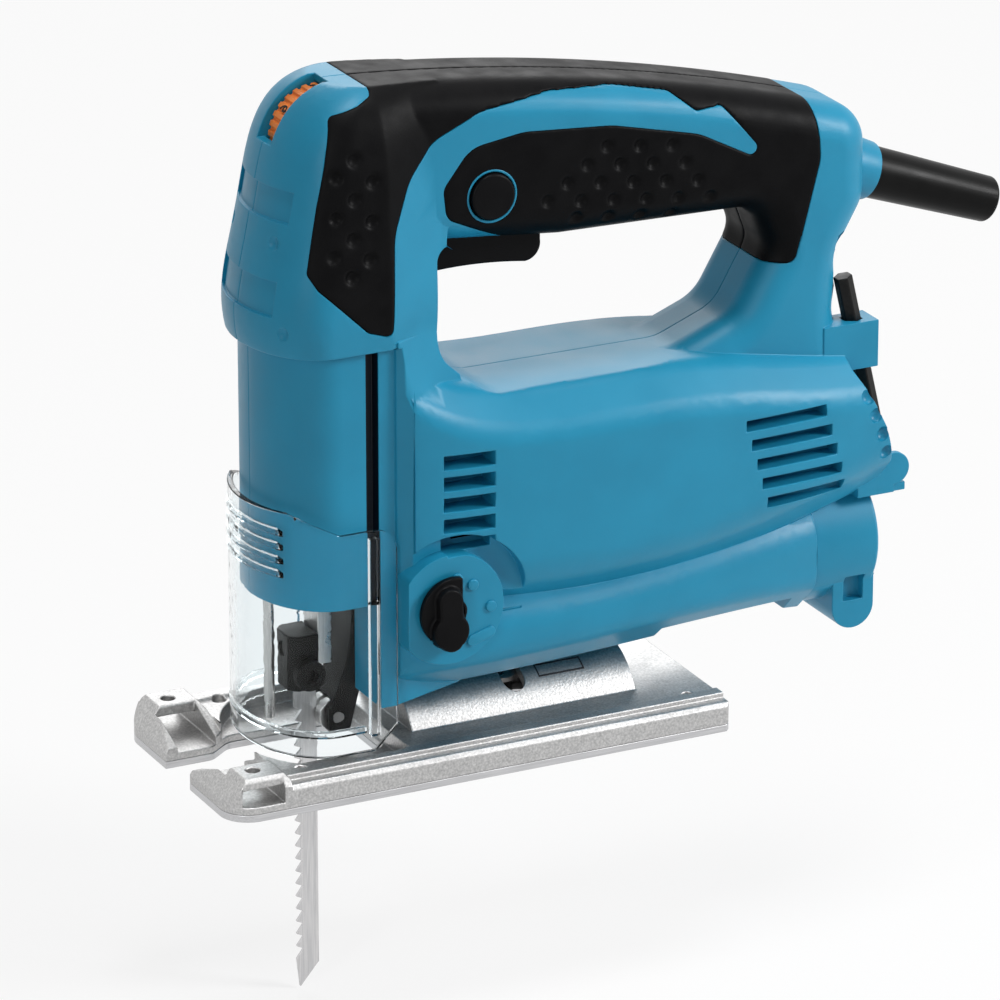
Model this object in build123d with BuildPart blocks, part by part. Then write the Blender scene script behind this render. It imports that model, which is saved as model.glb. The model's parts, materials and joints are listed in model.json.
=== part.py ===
from build123d import *
from math import cos, pi, radians, sin, sqrt
import os

# A corded jigsaw. Millimetres; +Z up, the saw cuts towards -X, -Y is its left side.
# The origin is on the sole, below the middle of the base, on the plane of the blade.

# Base: a casting with stepped rails and a fork, on a thin sole plate
base_length = 160.0
base_width = 77.0
base_front_round = 9.0
base_rear_chamfer = 1.2
sole_thickness = 2.2
plate_top = 9.6
shoulder_height = 9.0
shoulder_chamfer = 1.2
shoulder_width = 4.4
rail_height = 10.6
rail_width = 4.4
fork_height = 12.5
fork_length = 19.0
fork_gap = 17.0
fork_inner_height = 6.0
fork_nose_height = 5.0
fork_nose_slope = 5.5
fork_rear_slope = 1.5
fork_gap_straight = 15.0
fork_gap_flare = 22.0
fork_gap_round = 4.0
fork_strip = 9.5
fork_strip_inset = 3.0
blade_window_width = 28.0
blade_window_rear = -20.0
fence_slot_length = 12.6
fence_slot_height = 4.8
fence_slot_floor = 4.4
fence_slot_setback = 4.0
fence_slot_lip = 1.0
fence_slot_mouth = 2.0
fence_screw_radius = 2.1
fence_screw_inset = 8.5
cover_pocket_floor = 4.4
cover_pocket_gap = 3.0
base_screws_at = [(-54.0, 28.5), (71.0, 28.5)]
base_screw_radius = 2.0
base_screw_head_radius = 3.4
base_screw_head_height = 1.8
base_screw_top = 8.6

# Bevel seat: the base turns on a half-round saddle about a line on the sole
saddle_radius = 21.0
saddle_wall = 3.0
saddle_front = -14.0
saddle_length = 73.0
saddle_gap = 0.4
bevel_slot_width = 7.0
bevel_slot_reach = 30.0
bevel_slot_length = 24.0
seat_bolt_x = 22.0
seat_bolt_radius = 3.0
seat_bolt_head_radius = 5.0
seat_bolt_head_height = 6.0
seat_bolt_length = 22.0
seat_bolt_start = 1.0
seat_washer_radius = 7.5
seat_washer_thickness = 3.0
sole_window_width = 28.0
sole_window_length = 36.0
sole_window_round = 6.0

# Handle frame, a closed loop round the hand hole
handle_half_width = 19.0
handle_round = 10.5
handle_top_front = (-30.0, 205.0)
handle_top_middle = (53.0, 195.8)
handle_top_rear = (136.0, 175.5)
hand_hole = [
    (-6.0, 156.0),
    (-6.0, 124.0),
    (8.0, 111.5),
    (74.0, 111.5),
    (93.0, 119.0),
    (104.0, 138.0),
    (99.0, 151.0),
    (36.0, 152.0),
]
hand_hole_rounds = [4.0, 12.0, 13.0, 16.0, 13.0, 7.0, 7.0, 10.0]
frame_rear = [(136.0, 149.0), (127.5, 134.0), (126.5, 116.0), (132.0, 88.0), (132.0, 60.0)]
frame_foot = 60.0
frame_corner = 12.5
frame_corner_zone = (100.0, 70.0)
above_all = 240.0

# Head and column
head_foot = 131.0
head_levels = [
    (131.0, -59.3, 27.6, 18.0, 18.0),
    (158.0, -57.3, 27.2, 18.0, 18.0),
    (184.0, -52.0, 25.6, 17.0, 17.0),
    (197.0, -46.5, 22.0, 15.0, 15.0),
    (205.0, -35.0, 12.5, 9.0, 9.0),
]
head_flank_rear = -24.0
head_rear = -2.0
column_front = -56.0
column_half_width = 25.0
column_nose = 18.0
column_foot = 54.0
column_flank_rear = -21.0
column_rear = 2.0
column_rear_half_width = 17.0
bay_rear = -27.0
bay_overlap = 1.0
track_x = -29.0
track_width = 3.8
track_depth = 4.0

# Neck behind the column, up to the head: level, end of flank, half width, rear, half width there
neck_front = -22.0
lip_inner = 25.4
lip_outer = 29.4
lip_length = 4.0
lip_start = 0.5
neck_levels = [(96.0, -12.0, 28.4, 8.0, 18.0), (133.0, -21.5, 27.4, -2.5, 17.8)]
head_bands = [(169.0, 178.0), (142.5, 152.5)]
head_band_depth = 1.0
head_band_half_width = 17.0
head_band_rear = -45.0

# Motor barrel, sections square to X: station, half width, underside, top
body_stations = [
    (-22.0, 28.4, 44.0, 130.0),
    (2.0, 32.5, 43.5, 115.0),
    (48.0, 33.5, 42.5, 112.0),
    (92.0, 32.0, 47.5, 109.0),
    (141.0, 27.0, 58.0, 104.0),
]
body_belly = (13.0, 15.0)
body_crown = (10.0, 11.0)
body_rounds = [14.0, 16.0, 12.0, 9.0]
body_rear = [
    (124.0, 120.0),
    (127.5, 100.0),
    (137.0, 82.0),
    (140.5, 70.0),
    (139.0, 62.0),
    (133.0, 54.0),
    (133.0, 20.0),
]

# Dust duct below the barrel, from the skirt over the saddle to a round port for a hose:
# station, half width of its keel, half width, underside, top
duct_stations = [
    (-22.0, 17.0, 27.6, 21.8, 60.0),
    (2.0, 17.0, 31.0, 22.2, 58.0),
    (48.0, 17.0, 30.0, 23.6, 57.0),
    (92.0, 13.0, 25.5, 24.0, 61.0),
    (118.0, 9.0, 20.8, 21.8, 62.4),
]
duct_flank = 11.0
duct_shoulder = 12.0
duct_rounds = [3.0, 9.0, 12.0, 6.0]
keel_rear = 64.5
keel_step_top = 28.2
keel_slant = 2.0
keel_end_slant = 4.0
port_height = 42.0
port_radius = 20.5
port_front = 116.0
port_rear = 139.5
port_chamfer = 1.0
port_bore_radius = 15.0
port_bore_depth = 30.0
duct_bore_radius = 11.0
duct_bore_front = 70.0
port_foot_half_width = 17.0
port_foot_radius = 7.0
port_foot_bottom = 15.5
port_foot_dent = (6.5, 8.0, 3.0)
port_foot_dent_rise = 2.0

# Vents
vent_rows = 5
vent_floor = 24.0
front_vent_x = -9.5
front_vent_length = 15.5
front_vent_low = 68.0
front_vent_pitch = 6.4
front_vent_height = 4.2
rear_vent_x = 95.2
rear_vent_length = 27.5
rear_vent_low = 64.8
rear_vent_pitch = 6.25
rear_vent_shift = 1.9
rear_vent_height = 3.4

# Soft grip moulded over the head and handle
grip_thickness = 2.0
grip_outline = [
    (-24.5, 212.0),
    (-24.5, 203.2),
    (-30.0, 201.2),
    (-38.5, 199.0),
    (-41.2, 190.0),
    (-44.6, 176.0),
    (-48.4, 156.0),
    (-46.0, 151.5),
    (-31.5, 137.4),
    (-23.6, 134.8),
    (-22.0, 164.0),
    (-16.0, 178.5),
    (-6.0, 188.0),
    (8.0, 194.2),
    (31.0, 196.4),
    (52.0, 194.8),
    (70.0, 190.8),
    (77.5, 184.6),
    (86.0, 185.0),
    (103.0, 165.0),
    (78.0, 178.0),
    (50.0, 184.5),
    (22.0, 186.5),
    (5.0, 184.0),
    (-3.5, 173.0),
    (-2.5, 164.0),
    (9.0, 158.5),
    (36.0, 146.0),
    (88.0, 145.0),
    (102.0, 134.0),
    (110.0, 134.0),
    (118.0, 165.0),
    (116.0, 190.0),
    (60.0, 212.0),
]
grip_rounds = [
    2.0, 2.0, 4.0, 2.5, 10.0, 15.0, 2.0, 2.0, 3.0,
    2.0, 16.0, 14.0, 12.0, 14.0, 20.0, 20.0, 5.0, 2.0,
    2.0, 2.0, 20.0, 25.0, 20.0, 10.0, 4.5, 4.5, 10.0,
    2.0, 4.0, 3.0, 3.0, 10.0, 2.0, 2.0,
]

# Motor, along X
motor_height = 72.0
shaft_radius = 4.0
stator_radius = 24.0
stator_front = 22.0
stator_length = 36.0
air_gap = 0.6
core_radius = 14.0
winding_radius = 12.0
winding_length = 8.0
winding_chamfer = 1.5
fan_radius = 21.5
fan_hub_radius = 9.0
fan_front = 1.0
fan_thickness = 8.0
fan_blades = 12
fan_disc = 1.6
fan_blade_thickness = 1.4
fan_blade_short = 0.5
commutator_radius = 9.0
commutator_front = 68.0
commutator_length = 13.0
bearing_radius = 11.0
bearing_width = 7.0
front_bearing_front = -14.0
rear_bearing_front = 86.0
brush_width = 6.0
brush_thickness = 8.0
brush_reach = 9.0
brush_gap = 0.3
holder_wall = 1.5
holder_setback = 1.5
stator_fit = 0.1
running_clearance = 0.05

# Crank drive
gear_module = 1.0
gear_teeth = 40
pinion_teeth = 8
gear_front = -25.5
gear_width = 7.5
gear_front_gap = 0.8
gear_case_gap = 2.0
tooth_root = 1.2
tooth_tip = 0.9
tooth_foot_share = 0.56
tooth_tip_share = 0.22
tooth_sink = 0.3
pinion_overrun = 0.5
shaft_end_gap = 0.5
crank_throw = 9.0
crank_pin_radius = 4.0
crank_pin_length = 6.0
crank_roller_wall = 1.4
crank_roller_gap = 0.2
gear_pin_radius = 4.0
carrier_front = -16.0
carrier_thickness = 12.0
carrier_half_width = 15.0
carrier_foot = 58.0
carrier_top = 109.0
carrier_round = 3.0
carrier_shaft_room = 2.0
gear_pin_depth = 8.0

# Slider, blade clamp and blade
slider_front = -37.5
slider_thickness = 4.5
slider_width = 10.0
slider_foot = 30.0
slider_top = 130.0
yoke_thickness = 5.0
yoke_half_width = 17.0
yoke_wall = 4.0
yoke_slack = 2.2
yoke_round = 3.0
yoke_end_gap = 0.5
guide_length = 9.0
guide_lower = 57.0
guide_upper = 117.0
guide_gap = 0.08
guide_wall = 6.0
guide_rear_gap = 0.5
channel_side_gap = 1.0
channel_end_gap = 2.0
clamp_front = -46.5
clamp_width = 12.0
clamp_foot = 23.0
clamp_height = 17.0
clamp_screw_radius = 3.0
clamp_screw_head = 4.6
clamp_screw_head_height = 3.2
clamp_socket_radius = 2.3
clamp_socket_depth = 2.0
clamp_front_screw = 2.2
clamp_front_screw_drop = 5.0
clamp_front_screw_sink = 0.6
clamp_screw_inset = (3.8, 5.5)
clamp_chamfer = 2.4
clamp_end_gap = 0.2
clamp_side_gap = 0.1
clamp_screw_gap = 0.05
blade_front = -43.0
blade_depth = 7.0
blade_thickness = 1.1
blade_tip = -73.0
blade_shank_top = 38.0
blade_shank_foot = 21.0
blade_shank_depth = 5.0
blade_tooth_top = 16.0
tooth_pitch = 4.0
tooth_depth = 2.2
blade_tip_slope = 7.0
blade_tip_nose = 1.0
tooth_gullet = 0.25

# Roller behind the blade
roller_radius = 5.0
roller_width = 8.0
roller_height = 13.0
roller_groove = 1.7
roller_groove_depth = 1.0
roller_gap = 0.3
roller_pin_radius = 1.6
arm_cheek = 2.0
arm_pivot = (-23.0, 46.0)
arm_pivot_radius = 2.5
arm_clearance = 0.3
arm_pin_half = 12.0
arm_room_half = 7.0
arm_room_rear = -16.0
arm_eye_radius = 4.5
arm_toe = (-2.6, -4.4)
arm_heel = (3.5, -4.6)
arm_back = (7.0, 9.0)
arm_belly = (1.0, 12.0)
arm_lip = (-3.0, 2.0)
roller_room = 0.3

# Orbit lever
lever_pivot = (-8.5, 52.0)
lever_disc_radius = 10.5
lever_disc_right = 2.6
lever_disc_thickness = 2.2
lever_grip_length = 20.0
lever_grip_width = 8.2
lever_grip_shift = 2.0
lever_bulb_radius = 5.9
lever_bulb_drop = 5.0
lever_grip_height = 2.6
lever_shaft_radius = 4.0
lever_shaft_length = 16.0
lever_shaft_gap = 0.5
lever_grip_drop = 1.5
lever_grip_angle = -88.0
lever_grip_taper = 12.0
lever_boss_radius = 16.8
lever_boss_face = 33.6
lever_boss_root = 10.0
lever_pocket_x = -5.0
lever_pocket_radius = 21.5
lever_pocket_floor = 29.0
lever_pocket_drop = 5.0
lever_gap = 0.4

# Controls in the handle
trigger_front = -5.0
trigger_length = 38.0
trigger_width = 15.0
trigger_foot = 143.5
trigger_top = 158.5
trigger_travel = 5.0
trigger_gap = 0.4
trigger_toe = (5.0, 6.0)
trigger_toe_middle = (1.4, 1.6)
trigger_heel_rise = 1.0
trigger_arch = 1.4
switch_above = 1.0
switch_rear_reach = 6.0
switch_length = 40.0
switch_width = 20.0
switch_height = 22.0
lock_x = 11.7
lock_height = 169.0
lock_radius = 6.8
lock_stand = 1.4
lock_travel = 2.5
lock_inner = 10.5
lock_end_gap = 0.5
lock_round = 0.8
dial_x = -33.0
dial_height = 188.2
dial_radius = 14.2
dial_width = 8.0
dial_notches = 30
dial_notch_radius = 0.7
dial_pin_radius = 2.5
dial_gap = 0.5
dial_pin_gap = 0.3
dial_slit_rear = 2.0
dial_slit_rise = 1.0
controller_length = 13.0
controller_width = 18.0
controller_height = 24.0
controller_gap = 2.5

# Clear dust cover
cover_front = -59.6
cover_half_width = 27.6
cover_nose = 19.5
cover_wall = 1.8
cover_rear = -22.5
cover_foot = 10.0
cover_top_front = 84.0
cover_top_side = 77.5
cover_corner = 7.0
cover_rib_width = 2.6
cover_rib_depth = 2.6
cover_rib_foot = 4.0
cover_rib_head = 3.0
cover_straight = 1.0
cover_top_nose = 6.5

# Wire finger guard and hex key
guard_wire_radius = 1.5
guard_wire_x = -50.5
guard_wire_foot = 13.5
guard_wire_seat = 12.0
guard_tip_round = 1.35
key_across = 5.0
key_side = -14.0
key_top = (128.6, 126.0)
key_foot = (143.4, 63.0)
key_short = 16.0
key_bend = 5.5
key_block_low = 98.0
key_block_high = 112.5
key_block_half = 5.0
key_block_front = 120.0
key_ear_radius = 5.0
key_cradle_front = 132.0
key_cradle_height = 2.6
key_ear_outer = 5.6
key_ear_inner = 3.3
key_gap = 0.3
key_travel = 20.0
key_recess_drop = 1.7
key_recess_half = 3.2
key_block_rear = 138.4
key_ear_shift = (1.0, 2.0)

# Sleeve for the mains lead, at the rear of the handle
sleeve_exit = (136.0, 154.9)
sleeve_slope = 19.8
sleeve_start_radius = 8.0
sleeve_end_radius = 6.9
sleeve_length = 52.4
sleeve_neck = 4.0
sleeve_flange_radius = 10.5
sleeve_flange_length = 5.0
sleeve_bore_radius = 3.8
lead_room_radius = 5.0
lead_room_depth = 8.0
collar_radius = 9.6
collar_length = 8.0
collar_taper = 6.0
sleeve_lip = 1.2

# Screws that join the halves: x, height, and where the head seats on the right
housing_screws_at = [
    (-47.5, 112.0, 10.0),
    (-12.0, 138.0, 15.0),
    (112.0, 168.0, 14.0),
    (118.0, 112.0, 14.0),
    (62.0, 104.0, 17.0),
    (12.0, 33.0, 17.0),
    (106.0, 58.5, 19.0),
]
screw_radius = 1.8
screw_head_radius = 3.4
screw_head_height = 2.4
screw_depth = 28.0
screw_fit = 0.02
screw_head_gap = 0.4
screw_end_gap = 1.0

os.makedirs("parts", exist_ok=True)

base_front = -base_length / 2
half_base = base_width / 2
gear_height = motor_height + gear_module * (gear_teeth + pinion_teeth) / 2
gear_case_front = gear_front - gear_front_gap
slider_rear = slider_front + slider_thickness
channel_front = slider_front - guide_wall
channel_half_width = yoke_half_width + channel_side_gap
blade_back = blade_front + blade_depth


# A D-shaped plan: elliptical nose, straight flanks and a taper to the rear
def plan_outline(front, half_width, nose, flank_rear, rear, rear_half_width):
    start = front + nose
    EllipticalCenterArc((start, 0), nose, half_width, 90, arc_size=180)
    Polyline(
        (start, -half_width),
        (flank_rear, -half_width),
        (rear, -rear_half_width),
        (rear, rear_half_width),
        (flank_rear, half_width),
        (start, half_width),
    )


# The loop of head back, handle, rear strut and body top, with rounded edges
def handle_frame(inset):
    with BuildPart() as form:
        with BuildSketch(Plane.XZ) as side:
            with BuildLine():
                ThreePointArc(handle_top_front, handle_top_middle, handle_top_rear)
                Polyline(handle_top_rear, *frame_rear)
                Polyline(
                    frame_rear[-1],
                    (handle_top_front[0], frame_foot),
                    handle_top_front,
                )
            make_face()
            corners = side.vertices().filter_by(
                lambda v: v.X > frame_corner_zone[0] and v.Y > frame_corner_zone[1]
            )
            fillet(corners, frame_corner)
            with BuildLine():
                FilletPolyline(*hand_hole, radius=hand_hole_rounds, close=True)
            make_face(mode=Mode.SUBTRACT)
            if inset > 0:
                offset(amount=-inset, kind=Kind.INTERSECTION, mode=Mode.REPLACE)
        extrude(amount=handle_half_width - inset, both=True)
        rim = form.edges().filter_by(
            lambda e: abs(abs(e.center().Y) - handle_half_width + inset) < 0.01
        )
        fillet(rim, handle_round - inset)
    return form.part


# The head above the column, a dome through plans at rising levels
def head_dome(inset):
    with BuildPart() as form:
        for level, front, half_width, nose, rear_half_width in head_levels:
            height = level - inset if level > head_foot else level
            with BuildSketch(Plane.XY.offset(height)):
                with BuildLine():
                    plan_outline(
                        front + inset,
                        half_width - inset,
                        nose - inset,
                        head_flank_rear,
                        head_rear,
                        rear_half_width - inset,
                    )
                make_face()
        loft()
        with BuildSketch(Plane.XZ):
            with BuildLine():
                crest = ThreePointArc(
                    (handle_top_front[0], handle_top_front[1] - inset),
                    (handle_top_middle[0], handle_top_middle[1] - inset),
                    (handle_top_rear[0], handle_top_rear[1] - inset),
                )
                Polyline(
                    crest @ 1,
                    (handle_top_rear[0], above_all),
                    (handle_top_front[0], above_all),
                    crest @ 0,
                )
            make_face()
        extrude(amount=base_width, both=True, mode=Mode.SUBTRACT)
    return form.part


# A spur gear's outline about the origin, with straight-sided teeth
def gear_face(teeth, first_tooth):
    pitch_radius = gear_module * teeth / 2
    root = pitch_radius - tooth_root * gear_module
    tip = pitch_radius + tooth_tip * gear_module
    half_foot = tooth_foot_share * pi / teeth
    half_tip = tooth_tip_share * pi / teeth
    foot = (root * cos(half_foot) - tooth_sink, root * sin(half_foot))
    crest = (tip * cos(half_tip), tip * sin(half_tip))
    with BuildSketch() as outline:
        Circle(root)
        with PolarLocations(0, teeth, start_angle=first_tooth):
            Polygon(
                (foot[0], -foot[1]),
                (crest[0], -crest[1]),
                crest,
                foot,
                align=None,
            )
    return outline.sketch


# A closed section across X, given by its right half from the bottom up
def section_across(station, right_half, rounds):
    with BuildSketch(Plane.YZ.offset(station)) as face:
        with BuildLine():
            left_half = [(-y, z) for y, z in reversed(right_half)]
            FilletPolyline(*right_half, *left_half, radius=rounds + rounds[::-1], close=True)
        make_face()
    return face.sketch


# The motor barrel, a loft through sections with a round belly and crown
def motor_body():
    with BuildPart() as form:
        for station, half_width, underside, top in body_stations:
            right_half = [
                (half_width - body_belly[0], underside),
                (half_width, underside + body_belly[1]),
                (half_width, top - body_crown[1]),
                (half_width - body_crown[0], top),
            ]
            add(section_across(station, right_half, body_rounds))
        loft()
        with BuildSketch(Plane.XZ):
            with BuildLine():
                Polyline(
                    *body_rear,
                    (base_length, body_rear[-1][1]),
                    (base_length, body_rear[0][1]),
                    close=True,
                )
            make_face()
        extrude(amount=base_width, both=True, mode=Mode.SUBTRACT)
    return form.part


# The dust duct, a loft under the barrel that ends in a round port
def dust_duct():
    with BuildPart() as form:
        for station, keel, half_width, underside, top in duct_stations:
            right_half = [
                (keel, underside),
                (half_width, underside + duct_flank),
                (half_width, top - duct_shoulder),
                (half_width - duct_shoulder, top),
            ]
            add(section_across(station, right_half, duct_rounds))
        loft()
        with BuildSketch(Plane.XZ):
            with BuildLine():
                Polyline(
                    (keel_rear, 0),
                    (keel_rear + keel_slant, keel_step_top),
                    (port_front - keel_end_slant, keel_step_top),
                    (port_front, 0),
                    close=True,
                )
            make_face()
        extrude(amount=base_width, both=True, mode=Mode.SUBTRACT)
        with BuildSketch(Plane.YZ.offset(port_front)):
            with Locations((0, port_height)):
                Circle(port_radius)
        extrude(amount=port_rear - port_front)
        chamfer(form.faces().sort_by(Axis.X)[-1].edges(), port_chamfer)
    return form.part


# The neck that carries the head behind the column
def neck():
    with BuildPart() as form:
        for level, flank_rear, half_width, rear, rear_half_width in neck_levels:
            with BuildSketch(Plane.XY.offset(level)):
                Polygon(
                    (neck_front, -half_width),
                    (flank_rear, -half_width),
                    (rear, -rear_half_width),
                    (rear, rear_half_width),
                    (flank_rear, half_width),
                    (neck_front, half_width),
                    align=None,
                )
        loft()
    return form.part


base_up = (Align.CENTER, Align.CENTER, Align.MIN)


# A bar along X of the given radius, as a cut or a solid
def bar_along_x(front, rear, height, radius, mode=Mode.ADD):
    with Locations(Location((front, 0, height), (0, 90, 0))):
        Cylinder(radius, rear - front, align=base_up, mode=mode)


# A bar along Y at a spot of the side view
def bar_along_y(spot, low, high, radius, mode=Mode.ADD):
    with Locations(Location((spot[0], low, spot[1]), (-90, 0, 0))):
        Cylinder(radius, high - low, align=base_up, mode=mode)


# A block between two corners
def block(low, high, mode=Mode.ADD):
    with Locations(low):
        Box(
            high[0] - low[0],
            high[1] - low[1],
            high[2] - low[2],
            align=(Align.MIN, Align.MIN, Align.MIN),
            mode=mode,
        )


# Places derived from the driving sizes
switch_foot = trigger_top + trigger_travel + switch_above
switch_front = trigger_front + trigger_length - switch_length + switch_rear_reach
controller_rear = switch_front - controller_gap
controller_foot = switch_foot
lock_floor = lock_travel + lock_end_gap - lock_inner
roller_x = blade_back + roller_gap + roller_radius - roller_groove_depth
slope = radians(sleeve_slope)
sleeve_plane = Plane(
    origin=(sleeve_exit[0], 0, sleeve_exit[1]),
    x_dir=(0, 1, 0),
    z_dir=(cos(slope), 0, -sin(slope)),
)
key_run = Vector(key_top[0] - key_foot[0], 0, key_top[1] - key_foot[1])
key_plane = Plane(
    origin=(key_foot[0], key_side, key_foot[1]), x_dir=(0, 1, 0), z_dir=key_run.normalized()
)

# The grip: a skin over head and handle, cut to its outline
with BuildPart() as grip_form:
    add(handle_frame(0))
    add(head_dome(0))
    add(handle_frame(grip_thickness), mode=Mode.SUBTRACT)
    add(head_dome(grip_thickness), mode=Mode.SUBTRACT)
    with BuildSketch(Plane.XZ):
        with BuildLine():
            FilletPolyline(*grip_outline, radius=grip_rounds, close=True)
        make_face()
    extrude(amount=base_width, both=True, mode=Mode.INTERSECT)

# Everything that is cut from the housing
with BuildPart() as hollows:
    # Open bay for blade and roller, under the column
    block((base_front, -half_base, 0), (bay_rear, half_base, column_foot))
    # Tracks for the dust cover
    for side in (-1, 1):
        near, far = sorted((side * (column_half_width - track_depth), side * half_base))
        block(
            (track_x - track_width / 2, near, 0),
            (track_x + track_width / 2, far, head_foot),
        )
    # Concave seat on the saddle of the base
    bar_along_x(base_front, keel_rear + keel_slant, 0, saddle_radius + saddle_gap)

    # Motor tunnel, gear case and slider channel
    bar_along_x(
        carrier_front + carrier_thickness,
        rear_bearing_front,
        motor_height,
        stator_radius + stator_fit,
    )
    bar_along_x(
        bay_rear,
        rear_bearing_front + bearing_width,
        motor_height,
        bearing_radius + screw_fit,
    )
    bar_along_x(
        gear_case_front,
        carrier_front,
        gear_height,
        gear_module * gear_teeth / 2 + gear_case_gap,
    )
    block(
        (carrier_front, -carrier_half_width - screw_fit, carrier_foot),
        (carrier_front + carrier_thickness, carrier_half_width + screw_fit, carrier_top),
    )
    block(
        (channel_front, -channel_half_width, column_foot - bay_overlap),
        (gear_case_front, channel_half_width, slider_top + crank_throw + channel_end_gap),
    )
    # Room for the roller arm and its pivot pin
    block(
        (bay_rear - bay_overlap, -arm_room_half, 0),
        (arm_room_rear, arm_room_half, column_foot),
    )
    bar_along_y(arm_pivot, -arm_pin_half, arm_pin_half, arm_pivot_radius)
    # Hole for the shaft of the orbit lever
    bar_along_y(
        lever_pivot,
        -base_width,
        -lever_boss_face + lever_shaft_length,
        lever_shaft_radius + running_clearance,
    )

    # Pockets of the handle: trigger, switch, lock button, controller and dial
    block(
        (trigger_front - trigger_gap, -trigger_width / 2 - trigger_gap, trigger_foot),
        (trigger_front + trigger_length + trigger_gap, trigger_width / 2 + trigger_gap, switch_foot),
    )
    block(
        (switch_front, -switch_width / 2, switch_foot),
        (switch_front + switch_length, switch_width / 2, switch_foot + switch_height),
    )
    bar_along_y((lock_x, lock_height), -half_base, lock_floor, lock_radius + trigger_gap)
    block(
        (controller_rear - controller_length, -controller_width / 2, controller_foot),
        (controller_rear, controller_width / 2, controller_foot + controller_height),
    )
    dial_spot = (dial_x, dial_height)
    dial_half_slit = dial_width / 2 + dial_gap
    bar_along_y(dial_spot, -dial_half_slit, dial_half_slit, dial_radius + dial_gap)
    bar_along_y(dial_spot, -dial_width, dial_width, dial_pin_radius + running_clearance)
    with BuildSketch(Plane.XZ):
        with BuildLine():
            Polyline(
                dial_spot,
                (dial_x + dial_slit_rear, above_all),
                (base_front, above_all),
                (base_front, dial_height + dial_slit_rise),
                close=True,
            )
        make_face()
    extrude(amount=dial_half_slit, both=True)

    # Dust port and duct
    bar_along_x(port_rear - port_bore_depth, port_rear, port_height, port_bore_radius)
    bar_along_x(duct_bore_front, port_rear - port_bore_depth, port_height, duct_bore_radius)
    # Seat of the lead's sleeve, and the lead's way in
    with BuildSketch(sleeve_plane.offset(-sleeve_neck - sleeve_flange_length)):
        Circle(sleeve_flange_radius + screw_fit)
    extrude(amount=sleeve_flange_length + screw_fit)
    with BuildSketch(sleeve_plane.offset(-sleeve_neck)):
        Circle(sleeve_start_radius + screw_fit)
    extrude(amount=sleeve_length)
    with BuildSketch(sleeve_plane.offset(-sleeve_neck - sleeve_flange_length)):
        Circle(lead_room_radius)
    extrude(amount=-lead_room_depth)
    # Hole for the wire finger guard, and for the bolt of the base
    with Locations((guard_wire_x, 0, column_foot - bay_overlap)):
        Cylinder(guard_wire_radius + screw_fit, guard_wire_seat + bay_overlap, align=base_up)
    with Locations((seat_bolt_x, 0, saddle_radius - seat_bolt_start)):
        Cylinder(seat_bolt_radius + screw_fit, seat_bolt_length, align=base_up)
    # Channel for the hex key through its holder, and a recess along the way of its short arm
    with BuildSketch(key_plane):
        RegularPolygon(key_across / 2 + key_gap, 6, major_radius=False)
    extrude(amount=key_run.length + key_travel)
    with BuildSketch(key_plane.offset(-key_recess_drop)):
        with Locations((-key_recess_half, 0)):
            Rectangle(
                key_recess_half + key_short + key_gap,
                2 * key_recess_half,
                align=(Align.MIN, Align.CENTER),
            )
    extrude(amount=key_recess_drop + key_travel + key_recess_half)
    # Vents: short slots ahead and long ones in a slanting row at the rear, on both sides
    for side in (-1, 1):
        near, far = sorted((side * vent_floor, side * half_base))
        for row in range(vent_rows):
            low = front_vent_low + row * front_vent_pitch
            block(
                (front_vent_x, near, low),
                (front_vent_x + front_vent_length, far, low + front_vent_height),
            )
            low = rear_vent_low + row * rear_vent_pitch
            start = rear_vent_x - row * rear_vent_shift
            block((start, near, low), (start + rear_vent_length, far, low + rear_vent_height))
    # Screws from the right
    for x, height, seat in housing_screws_at:
        bar_along_y((x, height), seat - screw_depth, seat, screw_radius + screw_fit)
        bar_along_y((x, height), seat, base_width, screw_head_radius + screw_head_gap)


# The shallow skin that is cut from the head's nose for one band
def nose_band(low, high):
    with BuildPart() as form:
        add(head_dome(0))
        add(head_dome(head_band_depth), mode=Mode.SUBTRACT)
        block(
            (-base_length, -head_band_half_width, low),
            (head_band_rear, head_band_half_width, high),
            mode=Mode.INTERSECT,
        )
    return form.part


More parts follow.
